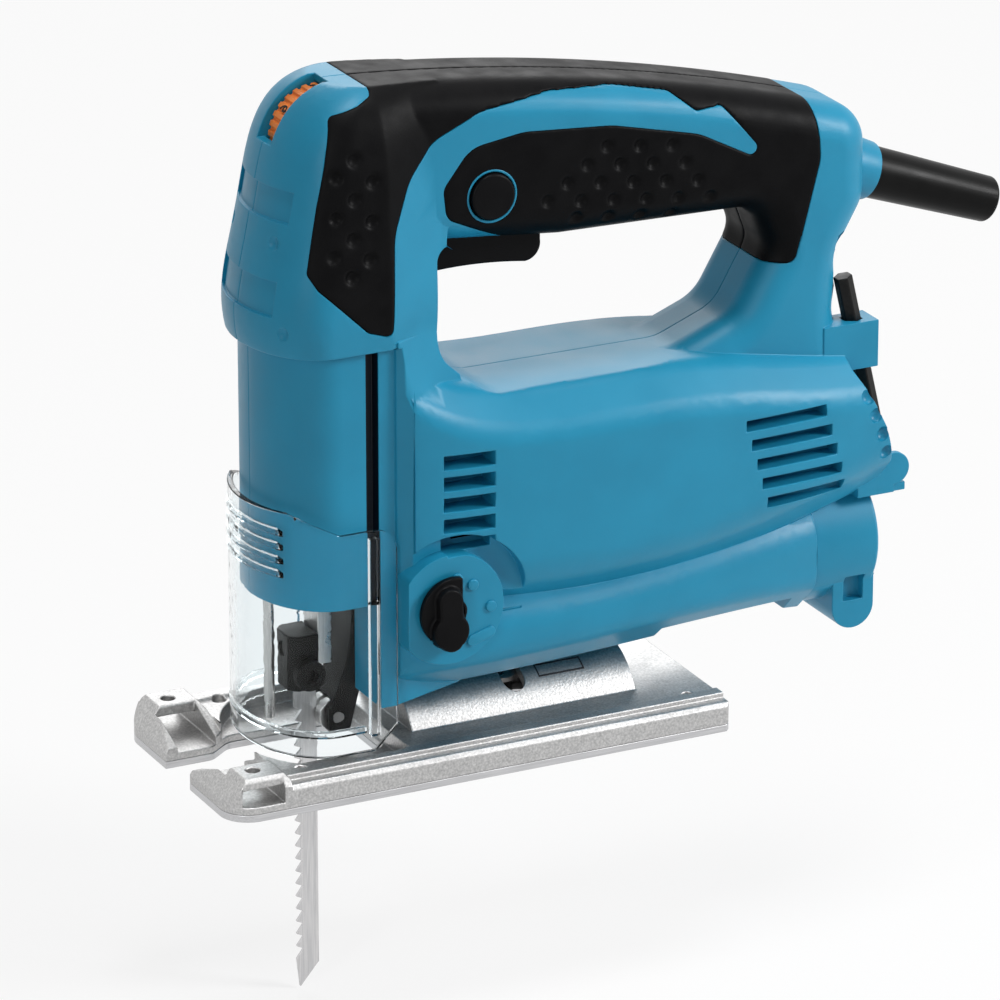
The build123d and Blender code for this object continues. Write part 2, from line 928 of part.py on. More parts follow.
# The whole outer form of the housing, before it is halved
with BuildPart() as housing_form:
    add(handle_frame(0))
    add(head_dome(0))
    with BuildSketch(Plane.XY.offset(duct_stations[0][3])):
        with BuildLine():
            plan_outline(
                column_front,
                column_half_width,
                column_nose,
                column_flank_rear,
                column_rear,
                column_rear_half_width,
            )
        make_face()
    extrude(amount=head_foot + grip_thickness - duct_stations[0][3])
    add(neck())
    add(motor_body())
    # The hand hole goes through neck and barrel too
    with BuildSketch(Plane.XZ):
        with BuildLine():
            FilletPolyline(*hand_hole, radius=hand_hole_rounds, close=True)
        make_face()
    extrude(amount=base_width, both=True, mode=Mode.SUBTRACT)
    add(dust_duct())
    # Foot under the dust port, with a dent in each side
    foot_x = port_rear - port_foot_radius
    foot_z = port_foot_bottom + port_foot_radius
    bar_along_y((foot_x, foot_z), -port_foot_half_width, port_foot_half_width, port_foot_radius)
    block(
        (foot_x - port_foot_radius, -port_foot_half_width, foot_z),
        (port_rear, port_foot_half_width, port_height),
    )
    dent_length, dent_height, dent_depth = port_foot_dent
    for side in (-1, 1):
        near, far = sorted((side * (port_foot_half_width - dent_depth), side * base_width))
        block(
            (foot_x - dent_length / 2, near, foot_z + port_foot_dent_rise),
            (foot_x + dent_length / 2, far, foot_z + port_foot_dent_rise + dent_height),
            mode=Mode.SUBTRACT,
        )
    # Holder block and cradle for the hex key on the rear
    block(
        (key_block_front, key_side - key_block_half, key_block_low),
        (key_block_rear, key_side + key_block_half, key_block_high),
    )
    cradle_top = key_foot[1] - key_across / 2 - key_gap
    block(
        (key_cradle_front, key_side - key_block_half, cradle_top - key_cradle_height),
        (key_foot[0] + key_across, key_side + key_across, cradle_top),
    )
    ear = (key_foot[0] + key_ear_shift[0], key_foot[1] + key_ear_shift[1])
    bar_along_y(ear, key_side - key_ear_outer, key_side - key_ear_inner, key_ear_radius)
    block(
        (key_cradle_front, key_side - key_ear_outer, cradle_top - key_cradle_height),
        (ear[0], key_side - key_ear_inner, ear[1] + key_ear_radius),
    )
    # Collar round the sleeve
    with BuildSketch(sleeve_plane):
        Circle(collar_radius)
    extrude(amount=collar_length, taper=collar_taper)
    # Slanted lips beside the column
    for side in (-1, 1):
        with BuildSketch(Plane.XY):
            Polygon(
                (neck_front - lip_start, side * lip_inner),
                (neck_front + lip_length, side * lip_outer),
                (neck_front + lip_length, side * base_width),
                (neck_front - lip_start, side * base_width),
                align=None,
            )
        extrude(amount=head_foot, mode=Mode.SUBTRACT)
    # Pocket and round boss for the orbit lever, on the left side only
    with BuildSketch(Plane.XZ.offset(lever_pocket_floor)):
        with Locations((lever_pocket_x, lever_pivot[1])):
            Circle(lever_pocket_radius)
        with Locations((neck_front, lever_pivot[1] - lever_pocket_drop)):
            Rectangle(base_length, base_width, align=(Align.CENTER, Align.MAX), mode=Mode.SUBTRACT)
    extrude(amount=half_base, mode=Mode.SUBTRACT)
    with BuildSketch(Plane.XZ.offset(lever_boss_root)):
        with Locations(lever_pivot):
            Circle(lever_boss_radius)
        with Locations((neck_front, 0)):
            Rectangle(base_length, base_length, align=(Align.MAX, Align.CENTER), mode=Mode.SUBTRACT)
    extrude(amount=lever_boss_face - lever_boss_root)
    # Stepped bands round the nose of the head
    for low, high in head_bands:
        add(nose_band(low, high), mode=Mode.SUBTRACT)
    add(grip_form.part, mode=Mode.SUBTRACT)
    add(hollows.part, mode=Mode.SUBTRACT)


# Name a finished piece and write its file
def finish(piece, name):
    piece.part.label = name
    export_step(piece.part, "parts/" + name + ".step")


# Housing halves and the grip on each
with BuildPart() as left_housing:
    add(housing_form.part)
    split(bisect_by=Plane.XZ, keep=Keep.TOP)
finish(left_housing, "left_housing")

with BuildPart() as right_housing:
    add(housing_form.part)
    split(bisect_by=Plane.XZ, keep=Keep.BOTTOM)
finish(right_housing, "right_housing")

with BuildPart() as left_grip:
    add(grip_form.part)
    add(hollows.part, mode=Mode.SUBTRACT)
    split(bisect_by=Plane.XZ, keep=Keep.TOP)
finish(left_grip, "left_grip")

with BuildPart() as right_grip:
    add(grip_form.part)
    add(hollows.part, mode=Mode.SUBTRACT)
    split(bisect_by=Plane.XZ, keep=Keep.BOTTOM)
finish(right_grip, "right_grip")

with BuildPart() as housing_screws:
    for x, height, seat in housing_screws_at:
        bar_along_y((x, height), seat - screw_depth + screw_end_gap, seat, screw_radius)
        bar_along_y((x, height), seat, seat + screw_head_height, screw_head_radius)
finish(housing_screws, "housing_screws")

# Motor
with BuildPart() as stator:
    bar_along_x(stator_front, stator_front + stator_length, motor_height, stator_radius)
    bar_along_x(
        stator_front,
        stator_front + stator_length,
        motor_height,
        core_radius + air_gap,
        Mode.SUBTRACT,
    )
finish(stator, "stator")

pinion_front = gear_front - pinion_overrun
pinion_face = gear_face(pinion_teeth, 0)
with BuildPart() as armature_shaft:
    shaft_front = gear_front + gear_width + pinion_overrun
    shaft_rear = rear_bearing_front + bearing_width - shaft_end_gap
    bar_along_x(shaft_front, shaft_rear, motor_height, shaft_radius)
    with BuildSketch(Plane.YZ.offset(pinion_front)):
        with Locations((0, motor_height)):
            add(pinion_face)
    extrude(amount=shaft_front - pinion_front)
finish(armature_shaft, "armature_shaft")


# A sleeve on the armature shaft
def on_shaft(front, length, radius):
    bar_along_x(front, front + length, motor_height, radius)
    bar_along_x(front, front + length, motor_height, shaft_radius + screw_fit, Mode.SUBTRACT)


with BuildPart() as armature_core:
    on_shaft(stator_front, stator_length, core_radius)
finish(armature_core, "armature_core")

with BuildPart() as armature_windings:
    on_shaft(stator_front - winding_length, winding_length, winding_radius)
    on_shaft(stator_front + stator_length, winding_length, winding_radius)
    ends = armature_windings.edges().filter_by(GeomType.CIRCLE)
    chamfer(ends.filter_by(lambda e: e.radius > commutator_radius), winding_chamfer)
finish(armature_windings, "armature_windings")

with BuildPart() as commutator:
    on_shaft(commutator_front, commutator_length, commutator_radius)
finish(commutator, "commutator")

with BuildPart() as cooling_fan:
    on_shaft(fan_front, fan_thickness, fan_hub_radius)
    with BuildSketch(Plane.YZ.offset(fan_front)):
        with Locations((0, motor_height)):
            Circle(fan_radius)
            Circle(shaft_radius + screw_fit, mode=Mode.SUBTRACT)
    extrude(amount=fan_disc)
    with BuildSketch(Plane.YZ.offset(fan_front + fan_disc / 2)):
        with Locations((0, motor_height)):
            with PolarLocations((fan_hub_radius + fan_radius) / 2, fan_blades):
                Rectangle(fan_radius - fan_hub_radius - fan_blade_short, fan_blade_thickness)
    extrude(amount=fan_thickness - fan_disc / 2)
finish(cooling_fan, "cooling_fan")


# A bearing on the armature shaft
def bearing(front):
    bar_along_x(front, front + bearing_width, motor_height, bearing_radius)
    bar_along_x(
        front,
        front + bearing_width,
        motor_height,
        shaft_radius + running_clearance,
        Mode.SUBTRACT,
    )


with BuildPart() as front_bearing:
    bearing(front_bearing_front)
finish(front_bearing, "front_bearing")

with BuildPart() as rear_bearing:
    bearing(rear_bearing_front)
finish(rear_bearing, "rear_bearing")

brush_x = commutator_front + commutator_length / 2
brush_inner = commutator_radius + brush_gap
brush_outer = brush_inner + brush_reach
with BuildPart() as carbon_brushes:
    for side in (-1, 1):
        low, high = sorted((side * brush_inner, side * brush_outer))
        block(
            (brush_x - brush_thickness / 2, low, motor_height - brush_width / 2),
            (brush_x + brush_thickness / 2, high, motor_height + brush_width / 2),
        )
finish(carbon_brushes, "carbon_brushes")

with BuildPart() as brush_holders:
    holder_half = brush_width / 2 + holder_wall
    holder_outer = sqrt(stator_radius**2 - holder_half**2)
    for side in (-1, 1):
        low, high = sorted((side * (brush_inner + holder_setback), side * holder_outer))
        block(
            (brush_x - brush_thickness / 2 - holder_wall, low, motor_height - holder_half),
            (brush_x + brush_thickness / 2 + holder_wall, high, motor_height + holder_half),
        )
    slot_along = brush_thickness / 2 + screw_fit
    slot_up = brush_width / 2 + screw_fit
    block(
        (brush_x - slot_along, -brush_outer, motor_height - slot_up),
        (brush_x + slot_along, brush_outer, motor_height + slot_up),
        mode=Mode.SUBTRACT,
    )
finish(brush_holders, "brush_holders")

# Gear carrier: holds the front bearing and the gear pin
with BuildPart() as gear_carrier:
    block(
        (carrier_front, -carrier_half_width, carrier_foot),
        (carrier_front + carrier_thickness, carrier_half_width, carrier_top),
    )
    fillet(gear_carrier.edges().filter_by(Axis.X), carrier_round)
    bar_along_x(
        carrier_front,
        carrier_front + carrier_thickness,
        motor_height,
        shaft_radius + carrier_shaft_room,
        Mode.SUBTRACT,
    )
    bar_along_x(
        front_bearing_front,
        front_bearing_front + bearing_width,
        motor_height,
        bearing_radius + screw_fit,
        Mode.SUBTRACT,
    )
    bar_along_x(
        carrier_front,
        carrier_front + gear_pin_depth,
        gear_height,
        gear_pin_radius + screw_fit,
        Mode.SUBTRACT,
    )
finish(gear_carrier, "gear_carrier")

with BuildPart() as gear_pin:
    bar_along_x(pinion_front, carrier_front + gear_pin_depth, gear_height, gear_pin_radius)
finish(gear_pin, "gear_pin")

# Drive gear with its crank pin, which points at the slider
wheel_face = gear_face(gear_teeth, 180 / gear_teeth)
with BuildPart() as drive_gear:
    with BuildSketch(Plane.YZ.offset(gear_front)):
        with Locations((0, gear_height)):
            add(wheel_face)
            Circle(gear_pin_radius + running_clearance, mode=Mode.SUBTRACT)
    extrude(amount=gear_width)
    with Locations(Location((gear_front, crank_throw, gear_height), (0, -90, 0))):
        Cylinder(crank_pin_radius - crank_roller_wall, crank_pin_length, align=base_up)
finish(drive_gear, "drive_gear")

with BuildPart() as crank_roller:
    with Locations(Location((gear_front - crank_roller_gap, crank_throw, gear_height), (0, -90, 0))):
        Cylinder(crank_pin_radius, crank_pin_length - 2 * crank_roller_gap, align=base_up)
        Cylinder(
            crank_pin_radius - crank_roller_wall + running_clearance,
            crank_pin_length,
            align=base_up,
            mode=Mode.SUBTRACT,
        )
finish(crank_roller, "crank_roller")

# Slider: a bar with a cross-slotted yoke for the crank
slot_half = crank_pin_radius + yoke_slack
slot_reach = crank_throw + crank_pin_radius + yoke_end_gap
with BuildPart() as slider:
    block(
        (slider_front, -slider_width / 2, slider_foot),
        (slider_rear, slider_width / 2, slider_top),
    )
    with BuildSketch(Plane.YZ.offset(slider_rear)):
        with Locations((0, gear_height)):
            RectangleRounded(2 * yoke_half_width, 2 * (slot_half + yoke_wall), yoke_round)
            Rectangle(2 * slot_reach, 2 * slot_half, mode=Mode.SUBTRACT)
    extrude(amount=yoke_thickness)
finish(slider, "slider")


# A guide that fills the channel round the slider bar
def slider_guide(foot):
    block(
        (channel_front + screw_fit, -channel_half_width + screw_fit, foot),
        (bay_rear - guide_rear_gap, channel_half_width - screw_fit, foot + guide_length),
    )
    block(
        (slider_front - guide_gap, -slider_width / 2 - guide_gap, foot),
        (slider_rear + guide_gap, slider_width / 2 + guide_gap, foot + guide_length),
        mode=Mode.SUBTRACT,
    )


with BuildPart() as lower_guide:
    slider_guide(guide_lower)
finish(lower_guide, "lower_guide")

with BuildPart() as upper_guide:
    slider_guide(guide_upper)
finish(upper_guide, "upper_guide")

# Blade clamp on the foot of the slider
clamp_top = clamp_foot + clamp_height
clamp_screw_spot = (slider_front - clamp_screw_inset[0], clamp_foot + clamp_screw_inset[1])
front_screw_height = clamp_top - clamp_front_screw_drop
with BuildPart() as blade_clamp:
    block((clamp_front, -clamp_width / 2, clamp_foot), (slider_front, clamp_width / 2, clamp_top))
    noses = blade_clamp.edges().filter_by(Axis.Z).group_by(Axis.X)[0]
    chamfer(noses, clamp_chamfer)
    block(
        (blade_front - clamp_end_gap, -blade_thickness / 2 - clamp_side_gap, clamp_foot),
        (slider_front, blade_thickness / 2 + clamp_side_gap, blade_shank_top + clamp_end_gap),
        mode=Mode.SUBTRACT,
    )
    bar_along_y(
        clamp_screw_spot,
        -clamp_width / 2,
        -blade_thickness / 2,
        clamp_screw_radius,
        Mode.SUBTRACT,
    )
    bar_along_x(
        clamp_front,
        blade_front - clamp_end_gap,
        front_screw_height,
        clamp_front_screw,
        Mode.SUBTRACT,
    )
finish(blade_clamp, "blade_clamp")

with BuildPart() as clamp_screws:
    clamp_side = clamp_width / 2
    clamp_screw_end = blade_thickness / 2 + clamp_screw_gap
    clamp_screw_top = clamp_side + clamp_screw_head_height
    bar_along_y(clamp_screw_spot, -clamp_side, -clamp_screw_end, clamp_screw_radius - screw_fit)
    bar_along_y(clamp_screw_spot, -clamp_screw_top, -clamp_side, clamp_screw_head)
    with BuildSketch(Plane.XZ.offset(clamp_screw_top)):
        with Locations(clamp_screw_spot):
            RegularPolygon(clamp_socket_radius, 6)
    extrude(amount=-clamp_socket_depth, mode=Mode.SUBTRACT)
    bar_along_x(
        clamp_front + clamp_front_screw_sink,
        blade_front - clamp_end_gap - clamp_screw_gap,
        front_screw_height,
        clamp_front_screw - screw_fit,
    )
finish(clamp_screws, "clamp_screws")

# Saw blade: narrow shank, toothed front edge, slanted tip
tooth_count = int((blade_tooth_top - blade_tip - blade_tip_slope) / tooth_pitch)
tooth_points = [(blade_front, blade_tooth_top)]
for tooth in range(tooth_count):
    root_height = blade_tooth_top - tooth * tooth_pitch
    tooth_points.append((blade_front + tooth_depth, root_height - tooth_gullet * tooth_pitch))
    tooth_points.append((blade_front, root_height - tooth_pitch))
with BuildPart() as saw_blade:
    with BuildSketch(Plane.XZ):
        with BuildLine():
            Polyline(
                (blade_front, blade_shank_top),
                *tooth_points,
                (blade_front + blade_tip_nose, blade_tip),
                (blade_back, blade_tip + blade_tip_slope),
                (blade_back, blade_shank_foot),
                (blade_front + blade_shank_depth, blade_shank_foot),
                (blade_front + blade_shank_depth, blade_shank_top),
                close=True,
            )
        make_face()
    extrude(amount=blade_thickness / 2, both=True)
finish(saw_blade, "saw_blade")

# Roller arm: a forked hook that carries the roller behind the blade
roller_spot = (roller_x, roller_height)
arm_half = roller_width / 2 + arm_clearance + arm_cheek
with BuildPart() as roller_arm:
    with BuildSketch(Plane.XZ):
        with BuildLine():
            toe, heel, back, belly, lip = [
                (roller_x + x, roller_height + z)
                for x, z in (arm_toe, arm_heel, arm_back, arm_belly, arm_lip)
            ]
            eye_rear = (arm_pivot[0] + arm_eye_radius, arm_pivot[1])
            eye_top = (arm_pivot[0], arm_pivot[1] + arm_eye_radius)
            eye_front = (arm_pivot[0] - arm_eye_radius, arm_pivot[1])
            Polyline(lip, toe, heel)
            ThreePointArc(heel, back, eye_rear)
            ThreePointArc(eye_rear, eye_top, eye_front)
            ThreePointArc(eye_front, belly, lip)
        make_face()
    extrude(amount=arm_half, both=True)
    bar_along_y(arm_pivot, -arm_half, arm_half, arm_pivot_radius + running_clearance, Mode.SUBTRACT)
    bar_along_y(roller_spot, -arm_half, arm_half, roller_pin_radius + screw_fit, Mode.SUBTRACT)
    throat = roller_width / 2 + arm_clearance
    roof = roller_radius + arm_clearance + roller_room
    bar_along_y(roller_spot, -throat, throat, roof, Mode.SUBTRACT)
finish(roller_arm, "roller_arm")

with BuildPart() as arm_pin:
    bar_along_y(
        arm_pivot, screw_fit - arm_pin_half, arm_pin_half - screw_fit, arm_pivot_radius - screw_fit
    )
finish(arm_pin, "arm_pin")

with BuildPart() as roller_pin:
    bar_along_y(roller_spot, -arm_half, arm_half, roller_pin_radius)
finish(roller_pin, "roller_pin")

with BuildPart() as guide_roller:
    bar_along_y(roller_spot, -roller_width / 2, roller_width / 2, roller_radius)
    with Locations(Location((roller_x, 0, roller_height), (-90, 0, 0))):
        Cylinder(2 * roller_radius, roller_groove, mode=Mode.SUBTRACT)
        Cylinder(roller_radius - roller_groove_depth, roller_groove)
        Cylinder(roller_pin_radius + running_clearance, roller_width, mode=Mode.SUBTRACT)
finish(guide_roller, "guide_roller")

# Orbit lever with its shaft through the left side
lever_outer = lever_boss_face + lever_gap + lever_disc_thickness
lever_shaft_end = lever_shaft_length - lever_shaft_gap - lever_boss_face
with BuildPart() as orbit_lever:
    bar_along_y(lever_pivot, -lever_outer, -lever_boss_face - lever_gap, lever_disc_radius)
    block(
        (lever_pivot[0] + lever_disc_right, -lever_outer, lever_pivot[1] - lever_disc_radius),
        (lever_pivot[0] + lever_disc_radius, -lever_boss_face, lever_pivot[1] + lever_disc_radius),
        mode=Mode.SUBTRACT,
    )
    bar_along_y(lever_pivot, -lever_outer, lever_shaft_end, lever_shaft_radius)
    with BuildSketch(Plane.XZ.offset(lever_outer)):
        with Locations((lever_pivot[0] - lever_grip_shift, lever_pivot[1] - lever_grip_drop)):
            SlotOverall(lever_grip_length, lever_grip_width, rotation=lever_grip_angle)
        with Locations((lever_pivot[0] - lever_grip_shift, lever_pivot[1] - lever_bulb_drop)):
            Circle(lever_bulb_radius)
    extrude(amount=lever_grip_height, taper=lever_grip_taper)
finish(orbit_lever, "orbit_lever")

# Trigger with a finger curve below
trigger_rear = trigger_front + trigger_length
heel_foot = (trigger_front, trigger_foot + trigger_heel_rise)
toe_foot = (trigger_rear - trigger_toe[0], trigger_foot)
toe_rear = (trigger_rear, trigger_foot + trigger_toe[1])
with BuildPart() as trigger:
    with BuildSketch(Plane.XZ):
        with BuildLine():
            Polyline(
                toe_rear,
                (trigger_rear, trigger_top),
                (trigger_front, trigger_top),
                heel_foot,
            )
            ThreePointArc(
                heel_foot,
                ((trigger_front + trigger_rear) / 2, trigger_foot + trigger_arch),
                toe_foot,
            )
            ThreePointArc(
                toe_foot,
                (trigger_rear - trigger_toe_middle[0], trigger_foot + trigger_toe_middle[1]),
                toe_rear,
            )
        make_face()
    extrude(amount=trigger_width / 2, both=True)
finish(trigger, "trigger")

with BuildPart() as switch_body:
    block(
        (switch_front + screw_fit, -switch_width / 2 + screw_fit, switch_foot),
        (
            switch_front + switch_length - screw_fit,
            switch_width / 2 - screw_fit,
            switch_foot + switch_height,
        ),
    )
    bar_along_y(
        (lock_x, lock_height),
        -switch_width,
        lock_floor,
        lock_radius + trigger_gap,
        Mode.SUBTRACT,
    )
finish(switch_body, "switch_body")

lock_outer = handle_half_width + lock_stand
with BuildPart() as lock_button:
    bar_along_y((lock_x, lock_height), -lock_outer, -lock_inner, lock_radius)
    crown = lock_button.edges().filter_by(GeomType.CIRCLE).sort_by(Axis.Y)[0]
    fillet(crown, lock_round)
finish(lock_button, "lock_button")

with BuildPart() as speed_controller:
    controller_side = controller_width / 2 - screw_fit
    block(
        (controller_rear - controller_length + screw_fit, -controller_side, controller_foot),
        (controller_rear - screw_fit, controller_side, controller_foot + controller_height),
    )
finish(speed_controller, "speed_controller")

# Speed dial: a wheel with grip notches and stub axles
with BuildPart() as speed_dial:
    with BuildSketch(Plane.XZ.offset(-dial_width / 2)):
        with Locations((dial_x, dial_height)):
            Circle(dial_radius)
            with PolarLocations(dial_radius, dial_notches):
                Circle(dial_notch_radius, mode=Mode.SUBTRACT)
    extrude(amount=dial_width)
    bar_along_y(dial_spot, dial_pin_gap - dial_width, dial_width - dial_pin_gap, dial_pin_radius)
finish(speed_dial, "speed_dial")

# Clear dust cover: a D-shaped shell with a lowered rear and rails inside
with BuildPart() as dust_cover:
    with BuildSketch(Plane.XY.offset(cover_foot)):
        with BuildLine():
            plan_outline(
                cover_front,
                cover_half_width,
                cover_nose,
                cover_rear - cover_straight,
                cover_rear,
                cover_half_width,
            )
        make_face()
        with BuildLine():
            plan_outline(
                cover_front + cover_wall,
                cover_half_width - cover_wall,
                cover_nose - cover_wall,
                cover_rear - cover_straight,
                cover_rear + cover_straight,
                cover_half_width - cover_wall,
            )
        make_face(mode=Mode.SUBTRACT)
    extrude(amount=cover_top_front - cover_foot)
    with BuildSketch(Plane.XZ):
        with BuildLine():
            Polyline(
                (cover_front, cover_foot),
                (cover_rear - cover_corner, cover_foot),
                (cover_rear, cover_foot + cover_corner),
                (cover_rear, cover_top_side - cover_corner),
            )
            RadiusArc(
                (cover_rear, cover_top_side - cover_corner),
                (cover_rear - cover_corner, cover_top_side),
                -cover_corner,
            )
            Polyline(
                (cover_rear - cover_corner, cover_top_side),
                (cover_front + cover_nose, cover_top_side),
                (cover_front + cover_top_nose, cover_top_front),
                (cover_front, cover_top_front),
                (cover_front, cover_foot),
            )
        make_face()
    extrude(amount=base_width, both=True, mode=Mode.INTERSECT)
    for side in (-1, 1):
        low, high = sorted(
            (
                side * (cover_half_width - cover_wall / 2),
                side * (cover_half_width - cover_wall - cover_rib_depth),
            )
        )
        block(
            (track_x - cover_rib_width / 2, low, cover_foot + cover_rib_foot),
            (track_x + cover_rib_width / 2, high, cover_top_side - cover_rib_head),
        )
finish(dust_cover, "dust_cover")

# Wire finger guard in front of the blade
with BuildPart() as wire_guard:
    with Locations((guard_wire_x, 0, guard_wire_foot)):
        Cylinder(guard_wire_radius, column_foot + guard_wire_seat - guard_wire_foot, align=base_up)
    tip = wire_guard.edges().filter_by(GeomType.CIRCLE).sort_by(Axis.Z)[0]
    fillet(tip, guard_tip_round)
finish(wire_guard, "wire_guard")

# Hex key: a bent bar with its long arm through the holder and its short arm across
with BuildPart() as hex_key:
    with BuildLine() as key_path:
        FilletPolyline(
            key_plane.from_local_coords((key_short, 0, 0)),
            key_plane.from_local_coords((0, 0, 0)),
            key_plane.from_local_coords((0, 0, key_run.length)),
            radius=key_bend,
        )
    with BuildSketch(Plane(origin=key_path.line @ 0, x_dir=key_run, z_dir=key_path.line % 0)):
        RegularPolygon(key_across / 2, 6, major_radius=False)
    sweep()
finish(hex_key, "hex_key")

# Sleeve that guards the mains lead: inner flange, neck and tapering tube
with BuildPart() as cord_sleeve:
    with BuildSketch(sleeve_plane.offset(-sleeve_neck - sleeve_flange_length)):
        Circle(sleeve_flange_radius)
    extrude(amount=sleeve_flange_length)
    with BuildSketch(sleeve_plane.offset(-sleeve_neck)):
        Circle(sleeve_start_radius)
    with BuildSketch(sleeve_plane):
        Circle(sleeve_start_radius)
    with BuildSketch(sleeve_plane.offset(sleeve_length)):
        Circle(sleeve_end_radius)
    loft(ruled=True)
    mouth = cord_sleeve.edges().filter_by(GeomType.CIRCLE).sort_by(Axis.X)[-1]
    fillet(mouth, sleeve_lip)
    with BuildSketch(sleeve_plane.offset(-sleeve_neck - sleeve_flange_length)):
        Circle(sleeve_bore_radius)
    extrude(amount=sleeve_neck + sleeve_flange_length + sleeve_length, mode=Mode.SUBTRACT)
finish(cord_sleeve, "cord_sleeve")


# Plan of the base, with rounded fork noses and small rear chamfers
def base_plan():
    with BuildSketch() as plan:
        Rectangle(base_length, base_width)
        rear_corners = plan.vertices().group_by(Axis.X)[-1]
        chamfer(rear_corners, base_rear_chamfer)
        front_corners = plan.vertices().group_by(Axis.X)[0]
        fillet(front_corners, base_front_round)
        with BuildLine():
            FilletPolyline(
                (base_front - fork_length, -fork_gap / 2),
                (base_front + fork_gap_straight, -fork_gap / 2),
                (base_front + fork_gap_flare, -blade_window_width / 2),
                (blade_window_rear, -blade_window_width / 2),
                (blade_window_rear, blade_window_width / 2),
                (base_front + fork_gap_flare, blade_window_width / 2),
                (base_front + fork_gap_straight, fork_gap / 2),
                (base_front - fork_length, fork_gap / 2),
                radius=fork_gap_round,
                close=True,
            )
        make_face(mode=Mode.SUBTRACT)
    return plan.sketch


fork_rear = base_front + fork_length
rail_outer = half_base - shoulder_width
rail_inner = rail_outer - rail_width
strip_outer = half_base - fork_strip_inset
strip_inner = strip_outer - fork_strip
slot_front = base_front + fence_slot_setback
slot_rear = slot_front + fence_slot_length
slot_top = fence_slot_floor + fence_slot_height
saddle_rear = saddle_front + saddle_length
fence_screw_spots = [
    ((slot_front + slot_rear) / 2, side * (half_base - fence_screw_inset)) for side in (-1, 1)
]
base_screw_spots = [(x, side * y) for x, y in base_screws_at for side in (-1, 1)]

# Cast base: stepped rails, fork humps, cover pocket and the bevel saddle
with BuildPart() as base:
    with BuildSketch(Plane.YZ.offset(fork_rear)):
        with BuildLine():
            Polyline(
                (0, sole_thickness),
                (half_base, sole_thickness),
                (half_base, shoulder_height - shoulder_chamfer),
                (half_base - shoulder_chamfer, shoulder_height),
                (rail_outer, shoulder_height),
                (rail_outer, rail_height),
                (rail_inner, rail_height),
                (rail_inner - (rail_height - plate_top), plate_top),
                (0, plate_top),
            )
            mirror(about=Plane.YZ)
        make_face()
    extrude(amount=base_length - fork_length)
    with BuildSketch(Plane.YZ.offset(base_front)):
        with BuildLine():
            Polyline(
                (0, sole_thickness),
                (half_base, sole_thickness),
                (half_base, shoulder_height),
                (strip_outer, fork_height),
                (strip_inner, fork_height),
                (fork_gap / 2, fork_inner_height),
                (0, fork_inner_height),
            )
            mirror(about=Plane.YZ)
        make_face()
    extrude(amount=fork_length)
    with BuildSketch(Plane.XZ):
        with BuildLine():
            Polyline(
                (base_front, 0),
                (base_front, fork_nose_height),
                (base_front + fork_nose_slope, fork_height),
                (fork_rear - fork_rear_slope, fork_height),
                (fork_rear, rail_height),
                (-base_front, rail_height),
                (-base_front, 0),
                close=True,
            )
        make_face()
    extrude(amount=base_width, both=True, mode=Mode.INTERSECT)
    # Pocket for the dust cover
    with BuildSketch(Plane.XY.offset(cover_pocket_floor)):
        with BuildLine():
            plan_outline(
                cover_front - cover_pocket_gap,
                cover_half_width + cover_pocket_gap,
                cover_nose + cover_pocket_gap,
                cover_rear,
                cover_rear + cover_pocket_gap,
                cover_half_width,
            )
        make_face()
    extrude(amount=fork_height, mode=Mode.SUBTRACT)
    # Saddle with closed ends, open below
    bar_along_x(saddle_front, saddle_rear, 0, saddle_radius)
    bar_along_x(
        saddle_front + saddle_wall,
        saddle_rear - saddle_wall,
        0,
        saddle_radius - saddle_wall,
        Mode.SUBTRACT,
    )
    with BuildSketch(Plane.XY):
        add(base_plan())
    extrude(amount=2 * saddle_radius, mode=Mode.INTERSECT)
    block((base_front, -half_base, 0), (-base_front, half_base, sole_thickness), mode=Mode.SUBTRACT)
    # Cross slot for the bolt: across for the bevel, along for setting the base back
    with BuildSketch(Plane.XY.offset(sole_thickness)):
        with Locations((seat_bolt_x, 0)):
            SlotOverall(bevel_slot_reach, bevel_slot_width, rotation=90)
            SlotOverall(bevel_slot_length, bevel_slot_width)
    extrude(amount=saddle_radius, mode=Mode.SUBTRACT)
    # Slots for a fence bar through both prongs, open above at the inner side
    slot_inner = strip_inner - fence_slot_lip
    block(
        (slot_front, -half_base, fence_slot_floor),
        (slot_rear, half_base, slot_top),
        mode=Mode.SUBTRACT,
    )
    block(
        (slot_front, -slot_inner, fence_slot_floor),
        (slot_rear, slot_inner, saddle_radius),
        mode=Mode.SUBTRACT,
    )
    for side in (-1, 1):
        near, far = sorted((side * (half_base - fence_slot_mouth), side * half_base))
        block(
            (slot_front, near, fence_slot_floor),
            (slot_rear, far, saddle_radius),
            mode=Mode.SUBTRACT,
        )
    with Locations(*[(x, y, slot_top) for x, y in fence_screw_spots]):
        Cylinder(fence_screw_radius, fork_height - slot_top, align=base_up, mode=Mode.SUBTRACT)
    with Locations(*[(x, y, sole_thickness) for x, y in base_screw_spots]):
        Cylinder(base_screw_radius + screw_fit, rail_height, align=base_up, mode=Mode.SUBTRACT)
finish(base, "base")

with BuildPart() as sole_plate:
    with BuildSketch(Plane.XY):
        add(base_plan())
        with Locations((seat_bolt_x, 0)):
            RectangleRounded(
                sole_window_length, sole_window_width, sole_window_round, mode=Mode.SUBTRACT
            )
        with Locations(*base_screw_spots):
            Circle(base_screw_head_radius + screw_fit, mode=Mode.SUBTRACT)
    extrude(amount=sole_thickness)
finish(sole_plate, "sole_plate")

